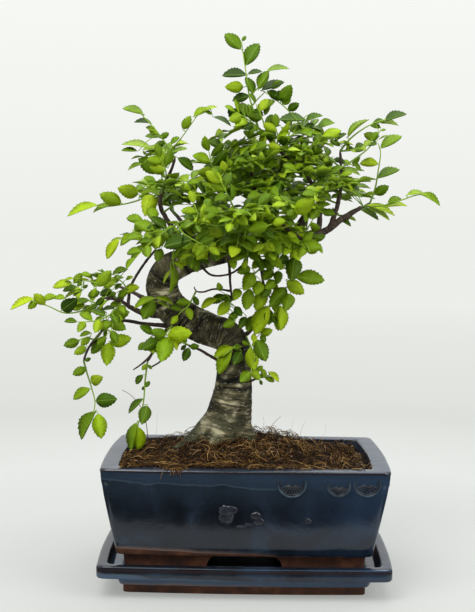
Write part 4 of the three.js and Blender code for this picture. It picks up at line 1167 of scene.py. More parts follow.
def limbRun(rows, step, buriedZ=None):
    # the points and radii of a limb at even steps
    path, points, widths = rowPath(rows, buriedZ)
    count = max(6, round(path["length"] / step))
    shares = [spot / count for spot in range(count + 1)]
    return ([pathPoint(path, share) for share in shares],
            [alongRows(widths, path, points, share) / 2 for share in shares])


barkLook = {
    "patchScale": 62, "ringScale": 190, "fineScale": 700, "fleckScale": 520, "mossScale": 70,
    "patches": [(0.31, (0.016, 0.013, 0.005)), (0.46, (0.046, 0.039, 0.017)), (0.57, (0.120, 0.105, 0.053)),
                (0.67, (0.430, 0.390, 0.245))],
    "rings": [(0.37, 0.13), (0.45, 0.60), (0.53, 1.0), (0.62, 1.5)],
    "fine": [(0.35, 0.35), (0.62, 1.0)], "fineShare": 0.55,
    "flecks": [(0.62, 0.0), (0.72, 0.6)], "fleckColour": (0.40, 0.38, 0.29),
    "moss": [(0.42, 0.0), (0.6, 0.8)], "mossHeight": (0.135, 0.105), "mossColour": (0.085, 0.105, 0.050),
    "twig": [(0.3, (0.020, 0.012, 0.009)), (0.6, (0.065, 0.042, 0.032)), (0.8, (0.13, 0.10, 0.08))],
    "rough": [(0.3, 0.85), (0.7, 0.62)], "specular": 0.2, "fineDepth": 0.45, "bump": (0.9, 0.0011),
}


def barkMaterial():
    # read on the straightened trunk: rings run across it, cracks and patches along it
    material = startMaterial("ringedBark")
    wood = attribute("woodPlace", "Vector")
    place, (_, _, z) = objectPlace()
    rings = grain(wood, barkLook["ringScale"], (0.22, 0.22, 1.9), detail=6, distortion=0.5)
    fine = grain(wood, barkLook["fineScale"], (0.3, 0.3, 1.6), detail=5)
    patches = grain(wood, barkLook["patchScale"], (1, 1, 1.3), distortion=0.6)
    specks = grain(wood, barkLook["fleckScale"], (0.5, 0.5, 1.8), detail=2)
    cushions = grain(place, barkLook["mossScale"], detail=5)
    colour = mixColour(1.0, ramp(patches, *barkLook["patches"]), ramp(rings, *barkLook["rings"]), "MULTIPLY")
    colour = mixColour(barkLook["fineShare"], colour, ramp(fine, *barkLook["fine"]), "MULTIPLY")
    colour = mixColour(ramp(specks, *barkLook["flecks"]), colour, barkLook["fleckColour"])
    moss = times(rangeMap(z, *barkLook["mossHeight"]), ramp(cushions, *barkLook["moss"]))
    colour = mixColour(moss, colour, barkLook["mossColour"])
    colour = mixColour(rangeMap(attribute("tone"), 0.0, 1.0), colour, ramp(fine, *barkLook["twig"]))
    shade(colour, rough=ramp(fine, *barkLook["rough"]), specular=barkLook["specular"])
    bumpy(plus(rings, times(fine, barkLook["fineDepth"])), *barkLook["bump"])
    return material


def makeTrunk(bark):
    heap = newHeap()
    points, radii = limbRun(trunk["line"], 3, trunk["buriedZ"])
    addTube(heap, points, radii, 28, 0.0)
    for rows in trunk["roots"]:
        rootPoints, rootRadii = limbRun(rows, 3)
        addTube(heap, rootPoints, rootRadii, 18, 0.0)
    piece = heapPiece("trunkWood", heap)
    for name in ("tone", "woodPlace"):
        piece.data.attributes.remove(piece.data.attributes[name])
    applyModifier(piece, "REMESH", mode="VOXEL", voxel_size=trunk["voxel"] * mm)
    applyModifier(piece, "SMOOTH", factor=0.5, iterations=trunk["smoothing"])
    # every point's place on the straightened trunk, and the bark's relief there
    frames = carried(points)
    runs = runsOf(points)
    finder = KDTree(len(points))
    for spot, point in enumerate(points):
        finder.insert(point, spot)
    finder.balance()
    knots = [(seen(*row[:3]), row[3], row[4]) for row in trunk["knots"]]
    places, tones = [], []
    for vert, normal in zip(piece.data.vertices, [item.vector.copy() for item in piece.data.vertex_normals]):
        here = vert.co / mm
        _, spot, _ = finder.find(here)
        point, tangent, side, across = frames[spot]
        away = here - point
        straight = Vector((away.dot(side), away.dot(across), runs[spot] + away.dot(tangent)))
        places += [value * mm for value in straight]
        thin = 1 - smoothStep(radii[spot], 2.4, 6)
        tones.append(thin * 0.9)
        ringed = noise.noise(Vector((straight.x * 0.05, straight.y * 0.05, straight.z * 0.42)))
        ringed += 0.5 * noise.noise(Vector((straight.x * 0.12, straight.y * 0.12, straight.z * 0.95)))
        rough = noise.noise(straight * 0.11) * 1.1 + noise.noise(straight * 0.3) * 0.35
        swell = sum(high * math.exp(-((here - knot).length / wide) ** 2) for knot, wide, high in knots)
        lift = (ringed * 0.34 + rough * 0.62) * (1 - 0.8 * thin) + swell
        vert.co = (here + normal * lift) * mm
    keepPlaces(piece, places)
    keepValues(piece, "tone", tones)
    smoothFaces(piece)
    dress(piece, "bark", bark)
    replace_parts(piece, "tree_wood")


def makeBranches(bark):
    heap = newHeap()
    for rows in branches.values():
        points, radii = limbRun(rows, twigLook["step"])
        tones = [1 - 0.55 * smoothStep(radius, 1.6, 3.2) for radius in radii]
        radii[-1] *= 0.6
        addTube(heap, points, radii, twigLook["sides"], tones, 0, twigLook["knobbly"])
    dress(heapPiece("branchWood", heap), "bark", bark)


# Leaves: one saw-edged blade for each size, modelled on a strip two faces wide, then copied and placed

leaf = {
    "widthShare": 0.55, "stalk": 0.075, "stalkWidth": 0.018, "fold": 0.10, "arch": 0.12, "thick": 0.022,
    "toothDepth": 0.055, "toothLean": 0.5, "teeth": {"large": 7, "middle": 5, "small": 4},
    "largeFrom": 15.5, "middleFrom": 11,
    "turn": (46, 16), "tipTurn": 8, "lift": 0.12, "tilt": 0.5,
    "young": (0.62, 0.38), "chance": (0.92, 0.16), "bare": 0.12,
}
facing = {"level": (0, -0.4, 1), "front": (0.05, -1, 0.25), "raised": (0, -1, 0.75), "back": (0, 0.5, 1)}


def bladeHalf(share):
    # half the blade's width along its length, fullest a little past the middle
    return (math.sin(math.pi * share ** 1.04) ** 0.64) * (1.04 - 0.20 * share ** 3)


def modelBlade(size):
    rows = leaf["teeth"][size] * 2 + 3
    blade = addPiece(bpy.ops.mesh.primitive_grid_add, x_subdivisions=2, y_subdivisions=rows, size=1)
    with editing(blade):
        bpy.ops.mesh.duplicate()
        bpy.ops.mesh.flip_normals()
    mesh = blade.data
    half = len(mesh.vertices) // 2
    halfFaces = len(mesh.polygons) // 2
    keepValues(blade, "under", [0.0] * halfFaces + [1.0] * halfFaces, "FACE")
    span = 1 - leaf["stalk"]
    uv = mesh.uv_layers.active.data
    flat = []
    for index, vert in enumerate(mesh.vertices):
        row = round((vert.co.y + 0.5) * rows)
        hand = round(vert.co.x * 2)
        if row < 2:
            along = leaf["stalk"] * row
            out = leaf["stalkWidth"] / leaf["widthShare"] * 2
        else:
            share = (row - 1) / (rows - 1)
            tooth = (row % 2 == 1) - 0.5
            along = leaf["stalk"] + span * share
            out = bladeHalf(share) if row < rows else 0.0
            out *= 1 + leaf["toothDepth"] * tooth * 2
            along += leaf["toothLean"] / rows * tooth if hand and row < rows else 0
        flat.append((along, out * hand))
        rise = leaf["fold"] * out * abs(hand) * (0.6 + 0.4 * out) - leaf["arch"] * along * along
        low = index >= half
        rise -= leaf["thick"] * (1.3 - along) if low and not hand and 0 < row < rows else 0
        vert.co = Vector((out * hand * leaf["widthShare"] / 2, along, rise))
    for loop in mesh.loops:
        along, out = flat[loop.vertex_index]
        uv[loop.index].uv = (out * 0.5 + 0.5, along)
    with editing(blade):
        bpy.ops.mesh.remove_doubles(threshold=0.0005)
    return blade


def seeded(seed):
    # the same draw of numbers as the solids' own leaves have
    state = seed
    while True:
        state = (state * 1664525 + 1013904223) % 4294967296
        yield state / 4294967296


def chanceOf(span, chance):
    return span[0] + span[1] * next(chance)


def squareTo(way, face):
    up = Vector(face).normalized()
    up = (up - way * up.dot(way)).normalized()
    return up, way.cross(up)


def leavesOf(shoot, chance):
    # right and left in turn, and the last one in line with the stem
    leaves = []
    bare = shoot.get("bare", leaf["bare"])
    for index in range(shoot["leaves"]):
        order = index / (shoot["leaves"] - 1)
        share = bare + (1 - bare) * order
        way = pathWay(shoot["path"], share)
        up, across = squareTo(way, shoot["face"])
        hand = 1 if index % 2 else -1
        turn = math.radians(leaf["tipTurn"] if order == 1 else chanceOf(leaf["turn"], chance))
        tilt = [shoot.get("tilt", leaf["tilt"]) * (next(chance) - 0.5) for _ in range(2)]
        young = leaf["young"][0] + leaf["young"][1] * math.sin(math.pi * (0.12 + 0.72 * order))
        length = shoot["size"] * young * chanceOf(leaf["chance"], chance)
        axis = (way * math.cos(turn) + across * (hand * math.sin(turn)) + up * leaf["lift"]).normalized()
        normal = up + across * tilt[0] + way * tilt[1]
        side = axis.cross(normal).normalized()
        leaves.append({"share": share, "order": order, "axis": axis, "side": side,
                       "normal": side.cross(axis), "length": length})
    return leaves


# Leafy shoots: the share of the first one that a side shoot leaves it at, and places in the picture from
# the root out, each with a depth. Those whose leaves follow a rule also have their number, size, facing
# and bare share

sprays = {
    "apex": [(0, [(258, 126, -2), (254.6, 114.6, -2), (249.3, 96, -3), (246.6, 77, -3), (243, 53, -4)]),
             (0.42, [(256, 90, -4), (265, 78, -6), (270, 70, -7)])],
    "apexRight": [(0, [(304, 133, 6), (295, 118, 4), (287, 109, 2), (276, 100, 0), (265, 92, -2)]),
                  (0.42, [(306, 116, 7), (316, 114, 9)])],
    "leftTop": [(0, [(175, 157, 1), (164, 141, 0), (154, 128, -1), (144, 117, -2), (138, 110, -3)]),
                (0.12, [(182, 137, -2), (192, 123, -4), (200, 113, -5), (210, 108, -6)])],
    "leftLong": [(0, [(157, 195, 2), (148, 197, 0), (131, 202.5, -3), (112, 206, -5), (97, 207, -6)])],
    "leftDroop": [(0, [(162, 221, -6), (150, 226, -10), (136, 235, -13), (122, 244, -15)])],
    "leftDroopLow": [(0, [(175, 225, -52), (163, 233, -56), (148, 245, -60),
                      (136, 257, -63)], 7, 15, "level", 0.1)],
    "rightSweep": [(0, [(341, 148, 4), (350, 139, 2), (360, 131, 0), (370, 125, -1), (386, 119, -2)])],
    "rightRise": [(0, [(348, 166, 12), (356, 158, 17), (366.6, 150, 18), (375, 140, 18), (381, 129, 18)])],
    "rightUpright": [(0, [(371, 201, 19), (375, 189, 20), (378.6, 168.6, 20), (380.5, 152, 20),
                      (378, 143, 20)])],
    "rightFar": [(0, [(364, 206, 8), (383, 205.6, 4), (401.7, 200, 0), (417, 195, -3), (427, 195, -5)]),
                 (0.1, [(374, 211, 3), (383, 216, 0)])],
    "leftFar": [(0, [(101, 299, -18), (84, 310, -20), (65, 313, -22), (48, 306, -24), (30, 301, -26)])],
    "leftHigh": [(0, [(117, 294, -20), (108, 288, -26), (96, 283, -32), (82, 280, -36)])],
    "leftMiddle": [(0, [(110, 302, -10), (98, 303, -4), (82, 299, 2), (66, 299, 8)], 8, 15, "raised", 0.05)],
    "leftLower": [(0, [(120, 310, -22), (108, 316, -30), (94, 321, -36),
                   (78, 322, -40)], 8, 14, "raised", 0.05), (0.3, [(112, 328, -34),
                   (106, 336, -36)], 4, 13, "front")],
    "leftUpper": [(0, [(129, 294, -12), (124, 284, -16), (116, 277, -20)])],
    "leftRiserTip": [(0, [(155, 250, 9), (146, 240, 10), (134, 236, 10), (124, 238, 10)], 7, 14, "level")],
    "leftBackTip": [(0, [(116, 285, 56), (104, 280, 60), (90, 280, 64)], 8, 15, "back"),
                    (0.2, [(112, 278, 68), (106, 274, 76)], 4, 14, "back")],
    "hangingLeft": [(0, [(83.9, 363, -12), (86.7, 372, -13), (91, 386, -14), (95, 402, -15),
                     (93, 415, -16)])],
    "hangingLeftTop": [(0, [(94, 338, -14), (85, 338, -20), (74, 342, -24)])],
    "hangingLeftBright": [(0, [(108, 330, -12), (113, 336, -18), (114, 343, -20)])],
    "hangingMiddle": [(0, [(147.4, 363, -13), (145, 382, -14), (143.5, 402, -15), (138, 426, -16)])],
    "trunkBright": [(0, [(172, 326, -17), (168, 331, -22), (163, 338, -25)])],
    "trunkCentre": [(0, [(236, 346, -16), (230, 350, -21), (223, 356, -23)])],
    "trunkRight": [(0, [(247, 343, -12), (252, 349, -16), (256, 358, -18)])],
    "lowStub": [(0, [(257, 379, -10), (264, 376, -12), (273, 374, -13)])],
    "innerTwigTip": [(0, [(186, 344, -11), (181, 341, -14), (175, 339, -16)])],
    "underArm": [(0, [(155, 330, -6), (152, 336, -12), (147, 342, -15)], 4, 14, "front")],
    "limbTop": [(0, [(188, 306, -16), (183, 310, -20), (178, 315, -22)], 5, 12, "front")],
    "armFront": [(0, [(142, 308, -14), (146, 304, -22), (150, 303, -28)])],
    "bendFront": [(0, [(189, 248, -30), (188, 256, -36), (193, 262, -38)])],
    "bendLeft": [(0, [(175, 245, -46), (173, 258, -42), (174, 270, -38)])],
    "frontLoop": [(0, [(235, 213, -56), (224, 225, -64), (209, 224, -68), (199, 215, -69),
                   (194, 204, -68)], 6, 13, "front", 0.3)],
    "frontStubTip": [(0, [(305, 242, -56), (308, 246, -60), (310, 252, -62)])],
    "hangingInner": [(0, [(258, 268, -20), (252, 277, -24), (246, 290, -26)])],
    "hangingOuter": [(0, [(288, 270, -17), (292, 277, -19), (296, 286, -20)])],
    "hangingLow": [(0, [(269, 296, -19), (274, 304, -21), (279, 316, -23)])],
    "elbowTip": [(0, [(268, 318, -12), (264, 325, -16), (262, 333, -18)])],
    "innerHangerTip": [(0, [(231.5, 302, -13), (226, 306, -17), (222, 312, -19)])],
}

# Shoots that fill the crown by a rule, by the branch that carries them: the share along it, the way that
# each leans in degrees from the right through the back, and its rise for a length of one
fillOutlets = {
    "leftUp": [(0.52, -40, 0.25)],
    "leftBack": [(0.8, 150, 0.9), (1, 60, 0.8)],
    "leftFront": [(0.72, -160, -0.1)],
    "centreUp": [(0.55, -60, 0.3), (1, 15, 0.6)],
    "centreBack": [(0.5, 45, 0.3), (1, 100, 0.9)],
    "centreFront": [(0.55, -95, -0.4)],
    "middleUp": [(0.5, -20, 0.4), (1, 5, 0.55)],
    "rightBack": [(0.7, 10, 0.2), (1, 150, 0.9)],
    "rightFront": [(0.5, -130, -0.4), (1, -30, 0.3)],
    "rightUp": [(0.6, 195, 0.5)],
}
moreShoots = {
    "leftUp": [(0.3, -60, 0.1), (0.6, 60, 0.3), (0.66, -80, 0.2), (0.94, 120, 0.5)],
    "leftBack": [(0.45, 60, 0.3), (0.6, 20, 0.4), (0.9, 100, 0.5)],
    "leftFront": [(0.5, -60, -0.3), (0.64, -10, 0.1), (1, -40, 0.15)],
    "centreUp": [(0.35, 20, 0.1), (0.45, -120, -0.1), (0.62, 110, 0.4), (0.68, 10, 0.35), (0.74, -60, 0.4),
                 (0.82, 80, 0.5), (0.88, -30, 0.5), (0.94, 40, 0.6)],
    "centreBack": [(0.4, 120, 0.2), (0.62, 0, 0.3), (0.78, 160, 0.4), (0.9, 30, 0.5)],
    "centreFront": [(0.3, -60, -0.3), (0.42, -140, -0.4), (0.6, -30, -0.2), (0.72, -90, 0.1),
                    (0.84, -10, 0.2), (1, -70, -0.1)],
    "middleUp": [(0.3, -80, -0.2), (0.4, 60, 0.2), (0.56, -110, 0.2), (0.62, 80, 0.4), (0.7, -40, 0.45),
                 (0.78, 120, 0.5), (0.84, -70, 0.5), (0.9, 40, 0.55)],
    "rightBack": [(0.4, 60, 0.2), (0.55, 100, 0.3), (0.85, 40, 0.45), (0.95, 90, 0.6)],
    "rightFront": [(0.35, -100, -0.4), (0.68, -100, 0.1), (0.78, 180, 0.3), (0.9, -60, 0.3)],
    "rightUp": [(0.35, 170, 0.1), (0.55, 100, 0.4), (0.7, 200, 0.4), (0.8, 160, 0.5)],
    "apexTwig": [(0.25, 160, 0.2), (0.36, -90, 0.3), (0.45, 170, 0.3), (0.52, 60, 0.4), (0.6, -60, 0.4),
                 (0.8, 20, 0.5)],
}
crown = {"middle": Vector((12, 0, 318)), "reach": Vector((92, 84, 62))}
fill = {
    "length": 50, "bow": 3, "bare": 0.22, "leaves": 6, "size": 19,
    "sides": ((-1, 0.3), (1, 0.455)), "sideTurn": 46, "sideLength": 26, "sideLeaves": 3, "sideSize": 17,
    "tilt": 0.5, "toEye": 0,
}
moreFill = dict(fill, length=42, leaves=8, size=15.5, sideLeaves=5, sideSize=14, tilt=1.7, toEye=0.55)
# shoots of the crown that the picture shows one by one: path, leaves, size and facing
crownShoots = [
    ([(262, 134, 0), (250, 121, -6), (236, 112, -10)], 9, 15, "raised"),
    ([(268, 140, 0), (262, 118, -8), (256, 104, -10)], 5, 14, "raised"),
    ([(275, 148, 0), (278, 138, -6), (276, 128, -8)], 6, 14, "raised"),
    ([(258, 128, -2), (246, 127, 4), (232, 132, 8), (220, 136, 10)], 9, 15, "level"),
    ([(216, 182, 3), (212, 166, -8), (209, 152, -12)], 7, 17, "raised"),
    ([(224, 206, 4), (206, 196, -14), (192, 190, -20)], 9, 15, "raised"),
    ([(163, 188, 4), (166, 172, -10), (160, 158, -14)], 8, 15, "raised"),
    ([(341, 150, 4), (352, 150, 0), (366, 146, -4), (378, 140, -6)], 8, 12, "level"),
    ([(224, 206, 4), (232, 190, -14), (226, 176, -18)], 8, 15, "raised"),
    ([(240, 251, -6), (252, 256, -16), (268, 256, -22), (280, 252, -24)], 8, 15, "front"),
    ([(288, 242, 0), (300, 246, -14), (314, 240, -20)], 8, 15, "raised"),
    ([(300, 240, 2), (309, 226, -14), (316, 214, -20)], 6, 15, "raised"),
    ([(250, 168, 5), (262, 150, -4), (276, 140, -8)], 8, 15, "raised"),
    ([(240, 222, -38), (250, 230, -60), (262, 228, -74), (272, 224, -78)], 4, 14, "front"),
    ([(236, 212, -54), (228, 196, -66), (220, 180, -72)], 5, 14, "raised"),
    ([(312, 198, -52), (306, 206, -66), (296, 212, -76)], 4, 14, "front"),
    ([(177, 224, -50), (184, 234, -64), (194, 240, -70), (208, 247, -72)], 4, 14, "front"),
]
# leaves that stand clear in the picture, by spray: foot and tip there, breadth for a length of one,
# and how young the leaf is where it isn't as the rest. Under the crown these are raised, so the
# brighter colour is partly painted light in the leaves' shade
shownLeaves = {
    "apex": [(241, 49, 225, 33, .47), (242, 41, 246, 36, .5), (246, 65, 258, 42, .46),
        (246, 75, 222, 73, .33), (248, 74, 262, 70, .28), (259, 89, 267, 70, .45), (253, 94, 247, 76, .4),
        (267, 71, 289, 66, .2, .5), (243, 87, 227, 87, .6, .5), (249, 96, 232, 100, .45),
        (250, 118, 240, 104, .4), (253, 110, 264, 115, .4)],
    "apexRight": [(262, 90, 284, 80, .28), (272, 89, 282, 80, .45, .5), (281, 102, 290, 87, .6),
        (272, 98, 288, 93, .5), (268, 91, 280, 98, .5), (282, 104, 291, 99, .5), (288, 110, 298, 104, .6),
        (275, 101, 255, 110, .35), (270, 104, 264, 115, .4, .4), (242, 122, 230, 110, .65),
        (242, 121, 242, 107, .4), (305, 120, 279, 117, .28), (306, 121, 322, 113, .3),
        (305, 127, 315, 124, .4), (317, 129, 334, 120, .3), (312, 135, 325, 132, .35),
        (322, 139, 341, 129, .4, .5), (335, 141, 346, 132, .3)],
    "rightSweep": [(348, 136, 366, 116, .14, .6), (338, 143, 354, 143, .12, .5), (380, 128, 370, 124, .4),
        (378, 132, 370, 141, .5), (385, 121, 406, 111, .3), (382, 123, 399, 123, .22),
        (373, 123, 386, 120, .3), (344, 141, 350, 150, .3), (340, 146, 330, 140, .4)],
    "rightRise": [(375, 138, 364, 134, .6, .5), (364, 150, 351, 150, .35), (381, 131, 386, 129, .4),
        (360, 157, 352, 166, .4), (345, 163, 334, 158, .4), (352, 163, 362, 170, .3)],
    "rightUpright": [(381, 148, 401, 134, .35), (378, 164, 360, 162, .42, .5), (378, 178, 399, 167, .32),
        (375, 194, 387, 187, .6)],
    "rightFar": [(421, 194, 442, 203, .25, .5), (407, 195, 424, 191, .25), (388, 203, 401, 197, .4),
        (386, 207, 407, 203, .2, .5), (368, 205, 396, 213, .18, .6), (368, 208, 391, 218, .2, .5),
        (360, 209, 380, 218, .25), (340, 220, 352, 225, .3), (336, 179, 366, 184, .12, .5),
        (334, 187, 363, 194, .15), (341, 169, 361, 173, .2), (352, 212, 344, 222, .4)],
    "leftTop": [(143, 114, 123, 106, .3, .5), (151, 123, 134, 120, .25), (158, 134, 149, 130, .5),
        (160, 138, 169, 133, .5), (165, 142, 155, 146, .5), (156, 131, 146, 126, .4),
        (160, 137, 145, 135, .3), (151, 148, 122, 141, .18), (137, 151, 121, 149, .25),
        (161, 172, 139, 159, .5), (167, 167, 156, 152, .5), (142, 164, 127, 168, .2),
        (173, 152, 187, 147, .25), (178, 158, 194, 169, .4), (171, 144, 179, 136, .4),
        (183, 129, 190, 117, .55), (194, 116, 209, 107, .35, .6), (203, 112, 217, 105, .2, .5),
        (205, 111, 212, 114, .4), (214, 117, 232, 124, .2)],
    "top": [(268, 225, 249, 230, .5, .9), (191, 240, 163, 245, .42, .15), (219, 174, 233, 156, .4, .8),
        (311, 194, 324, 189, .6, .9), (295, 213, 312, 200, .6, .5), (250, 232, 240, 220, .5, .1),
        (262, 229, 273, 238, .55, .1), (226, 190, 212, 184, .5, .1), (222, 182, 206, 172, .5, .3),
        (204, 245, 196, 256, .5, .4), (200, 243, 214, 238, .5, .1), (300, 211, 288, 202, .5, .1)],
    "leftLong": [(97, 205, 66, 213, .22, .6), (121, 203, 102, 195, .55), (138, 194, 121, 189, .65),
        (156, 190, 140, 192, .3), (152, 195, 146, 213, .7, .5), (112, 205, 92, 210, .2, .5)],
    "leftDroop": [(135, 231, 144, 222, .6), (135, 235, 119, 244, .35, .5), (119, 240, 105, 258, .35, .6),
        (144, 245, 130, 260, .3, .5), (160, 239, 143, 250, .25), (160, 226, 142, 236, .2),
        (162, 231, 147, 244, .25, .5), (152, 222, 158, 212, .4)],
    "leftFar": [(34, 299, 9, 307, .25, .6), (37, 301, 29, 308, .55, .5), (45, 304, 35, 295, .6, .6),
        (43, 300, 56, 295, .4, .6), (62, 310, 77, 299, .6, .1), (89, 300, 73, 304, .35, .1),
        (85, 305, 72, 309, .45, .1), (93, 306, 80, 314, .35), (66, 311, 71, 308, .4, .1)],
    "leftHigh": [(72, 283, 52, 286, .35), (74, 279, 64, 279, .25, .5), (74, 283, 82, 273, .5),
        (80, 275, 91, 274, .35, .95), (77, 287, 62, 290, .35, .1), (82, 282, 77, 286, .5, .1),
        (83, 288, 88, 285, .5, .1), (80, 291, 63, 296, .15), (83, 290, 72, 295, .3),
        (97, 286, 111, 271, .5), (104, 288, 115, 282, .4), (96, 288, 92, 297, .5, .1)],
    "leftUpper": [(127, 269, 111, 273, .3), (124, 291, 139, 286, .45, .5), (116, 293, 108, 296, .6, .0),
        (118, 274, 127, 268, .3), (122, 284, 114, 289, .4, .1), (126, 280, 133, 276, .4),
        (100, 292, 88, 296, .5, .1), (112, 290, 100, 295, .5, .1), (118, 297, 128, 290, .5, .1),
        (104, 298, 96, 305, .5, .0), (124, 297, 114, 303, .5, .0), (108, 285, 119, 278, .4, .2),
        (120, 302, 110, 306, .5, .0), (94, 287, 100, 280, .45, .1)],
    "hangingLeft": [(85, 361, 91, 358, .5, .1), (86, 368, 74, 374, .55, .0), (91, 382, 103, 377, .7, .0),
        (90, 389, 72, 398, .4, .0), (96, 401, 117, 399, .57, .0), (95, 412, 77, 438, .32, .15),
        (98, 414, 101, 436, .55, .9)],
    "hangingLeftTop": [(79, 341, 66, 345, .6), (86, 347, 76, 353, .6, .1), (91, 333, 79, 335, .35, .1),
        (90, 337, 81, 345, .5, .0), (106, 339, 90, 353, .42, .1), (107, 330, 104, 338, .4)],
    "hangingLeftBright": [(110, 343, 131, 338, .5, .6), (109, 343, 107, 362, .62, .95),
        (110, 317, 129, 312, .55, .0), (110, 321, 125, 329, .6, .0), (107, 320, 98, 330, .4, .0),
        (102, 316, 95, 325, .4, .0), (106, 312, 97, 314, .5, .0), (102, 306, 97, 314, .6, .1)],
    "hangingMiddle": [(147, 364, 142, 370, .5, .1), (148, 365, 152, 369, .5, .1),
        (143, 375, 135, 384, .45, .0), (145, 387, 150, 381, .5, .0), (145, 386, 142, 390, .5, .0),
        (143, 399, 127, 412, .27, .1), (147, 406, 143, 420, .72, .0), (137, 423, 128, 451, .3, .4),
        (138, 427, 140, 451, .42, .8)],
    "trunkBright": [(168, 335, 191, 333, .57), (168, 337, 162, 358, .65), (168, 336, 179, 349, .35),
        (159, 340, 144, 348, .6, .0), (165, 336, 154, 331, .75, .0)],
    "innerTwigTip": [(189, 348, 184, 360, .55, .1), (190, 347, 199, 346, .6, .0),
        (182, 343, 176, 338, .6, .3), (184, 344, 186, 337, .5, .1), (180, 342, 174, 346, .5, .2),
        (186, 345, 181, 350, .5, .0)],
    "armFront": [(154, 298, 133, 306, .27, .3), (154, 299, 143, 319, .5, .3),
        (156, 298, 174, 302, .18, .5), (157, 302, 170, 307, .2, .4)],
    "bendLeft": [(171, 264, 174, 293, .2, .6), (172, 270, 162, 283, .18, .6), (174, 262, 184, 268, .4, .5),
        (172, 258, 180, 250, .5, .4)],
    "bendFront": [(189, 250, 180, 267, .5, .5), (190, 252, 197, 270, .6, .1), (192, 256, 210, 262, .3, .3),
        (188, 248, 172, 246, .5, .2), (190, 247, 205, 240, .45, .1)],
    "hangingInner": [(250, 268, 239, 272, .7, .3), (253, 273, 245, 288, .65, .35),
        (250, 289, 246, 309, .52, .3), (260, 281, 256, 293, .8, .3), (239, 289, 235, 298, .8, .3),
        (260, 259, 253, 268, .6, .3), (262, 272, 266, 270, .5, .2), (262, 260, 273, 268, .6, .3),
        (273, 270, 263, 279, .6, .3), (268, 280, 277, 289, .6, .3)],
    "hangingOuter": [(295, 258, 292, 278, .68, .2), (300, 248, 292, 259, .8, .2),
        (296, 277, 325, 279, .42, .45), (287, 281, 303, 293, .55, .2), (278, 271, 278, 282, .7, .2),
        (279, 252, 268, 259, .7, .4), (288, 257, 279, 262, .8, .3), (290, 294, 286, 308, .75, .2),
        (270, 263, 264, 259, .5, .3), (284, 262, 280, 270, .5, .3)],
    "hangingLow": [(275, 281, 266, 288, .7, .2), (265, 289, 256, 310, .5, .35),
        (269, 306, 253, 334, .42, .75), (269, 309, 269, 324, .55, .3), (278, 305, 280, 331, .42, .25),
        (281, 306, 283, 331, .35, .65), (286, 288, 271, 305, .55, .3), (270, 286, 262, 297, .6, .3),
        (277, 298, 274, 311, .5, .4), (272, 316, 277, 324, .5, .2)],
    "elbowTip": [(253, 316, 248, 330, .6, .3), (261, 334, 272, 330, .6, .3), (261, 335, 265, 341, .7, .2),
        (253, 334, 255, 342, .6, .5), (257, 340, 265, 359, .6, .0), (256, 330, 262, 324, .6, .5)],
    "trunkRight": [(250, 348, 254, 370, .5, .85), (250, 372, 242, 380, .8, .4),
        (252, 370, 259, 379, .6, .1), (256, 371, 263, 366, .5, .1), (252, 346, 258, 341, .5, .3),
        (248, 345, 242, 341, .5, .3)],
    "trunkCentre": [(241, 352, 235, 362, .75, .0), (241, 347, 233, 348, .6, .2),
        (233, 348, 213, 355, .38, .55), (231, 353, 216, 373, .42, .8)],
    "lowStub": [(263, 378, 258, 374, .5, .1), (265, 378, 262, 368, .45, .1), (269, 372, 280, 381, .35, .6),
        (265, 378, 275, 381, .45, .2), (260, 380, 262, 385, .5, .1)],
    "innerHangerTip": [(217, 299, 200, 307, .35, .6), (229, 302, 219, 314, .6, .75),
        (234, 300, 217, 297, .35, .1), (235, 307, 241, 315, .65, .0), (235, 321, 224, 326, .6, .5),
        (235, 315, 230, 317, .7, .1), (221, 291, 218, 283, .6, .5), (226, 296, 210, 302, .45, .4),
        (238, 313, 229, 319, .6, .1), (246, 317, 240, 327, .6, .1)],
    "frontStubTip": [(301, 245, 323, 247, .45, .2), (303, 243, 312, 232, .5, .1),
        (306, 246, 300, 256, .6, .1), (297, 241, 288, 232, .5, .1)],
}
shoot = {
    "leafSeed": 101, "lookSeed": 11, "seatReach": 4, "straight": 8, "firstOut": 0.4, "outStep": 0.2,
    "stemRadius": (0.85, 0.38), "sideRadius": (0.55, 0.3), "stemSides": 6, "stemStep": 2.5,
    "leafStalk": (0.4, 0.28), "leafStalkFrom": 0.8, "shownBroad": 1.12, "shownLong": 1.09,
    # how young, and so how yellow, a spray's leaves are; raised for the sprays hanging under the crown,
    # where the brighter colour is partly painted light in their shade
    "young": {"trunkBright": 0.95, "hangingLeftBright": 0.95, "hangingMiddle": 0.7, "hangingOuter": 0.7,
              "hangingLow": 0.75, "hangingInner": 0.6, "hangingLeft": 0.65, "apex": -0.35,
              "rightUpright": -0.15,
              "apexRight": -0.3, "rightSweep": -0.1, "rightRise": -0.2, "rightFar": 0.1, "leftTop": -0.1,
              "lowStub": 0.7, "innerTwigTip": 0.6, "trunkCentre": 0.75, "trunkRight": 0.6, "leftFar": 0.2},
    "usualYoung": 0.28, "fillYoung": 0.2,
}


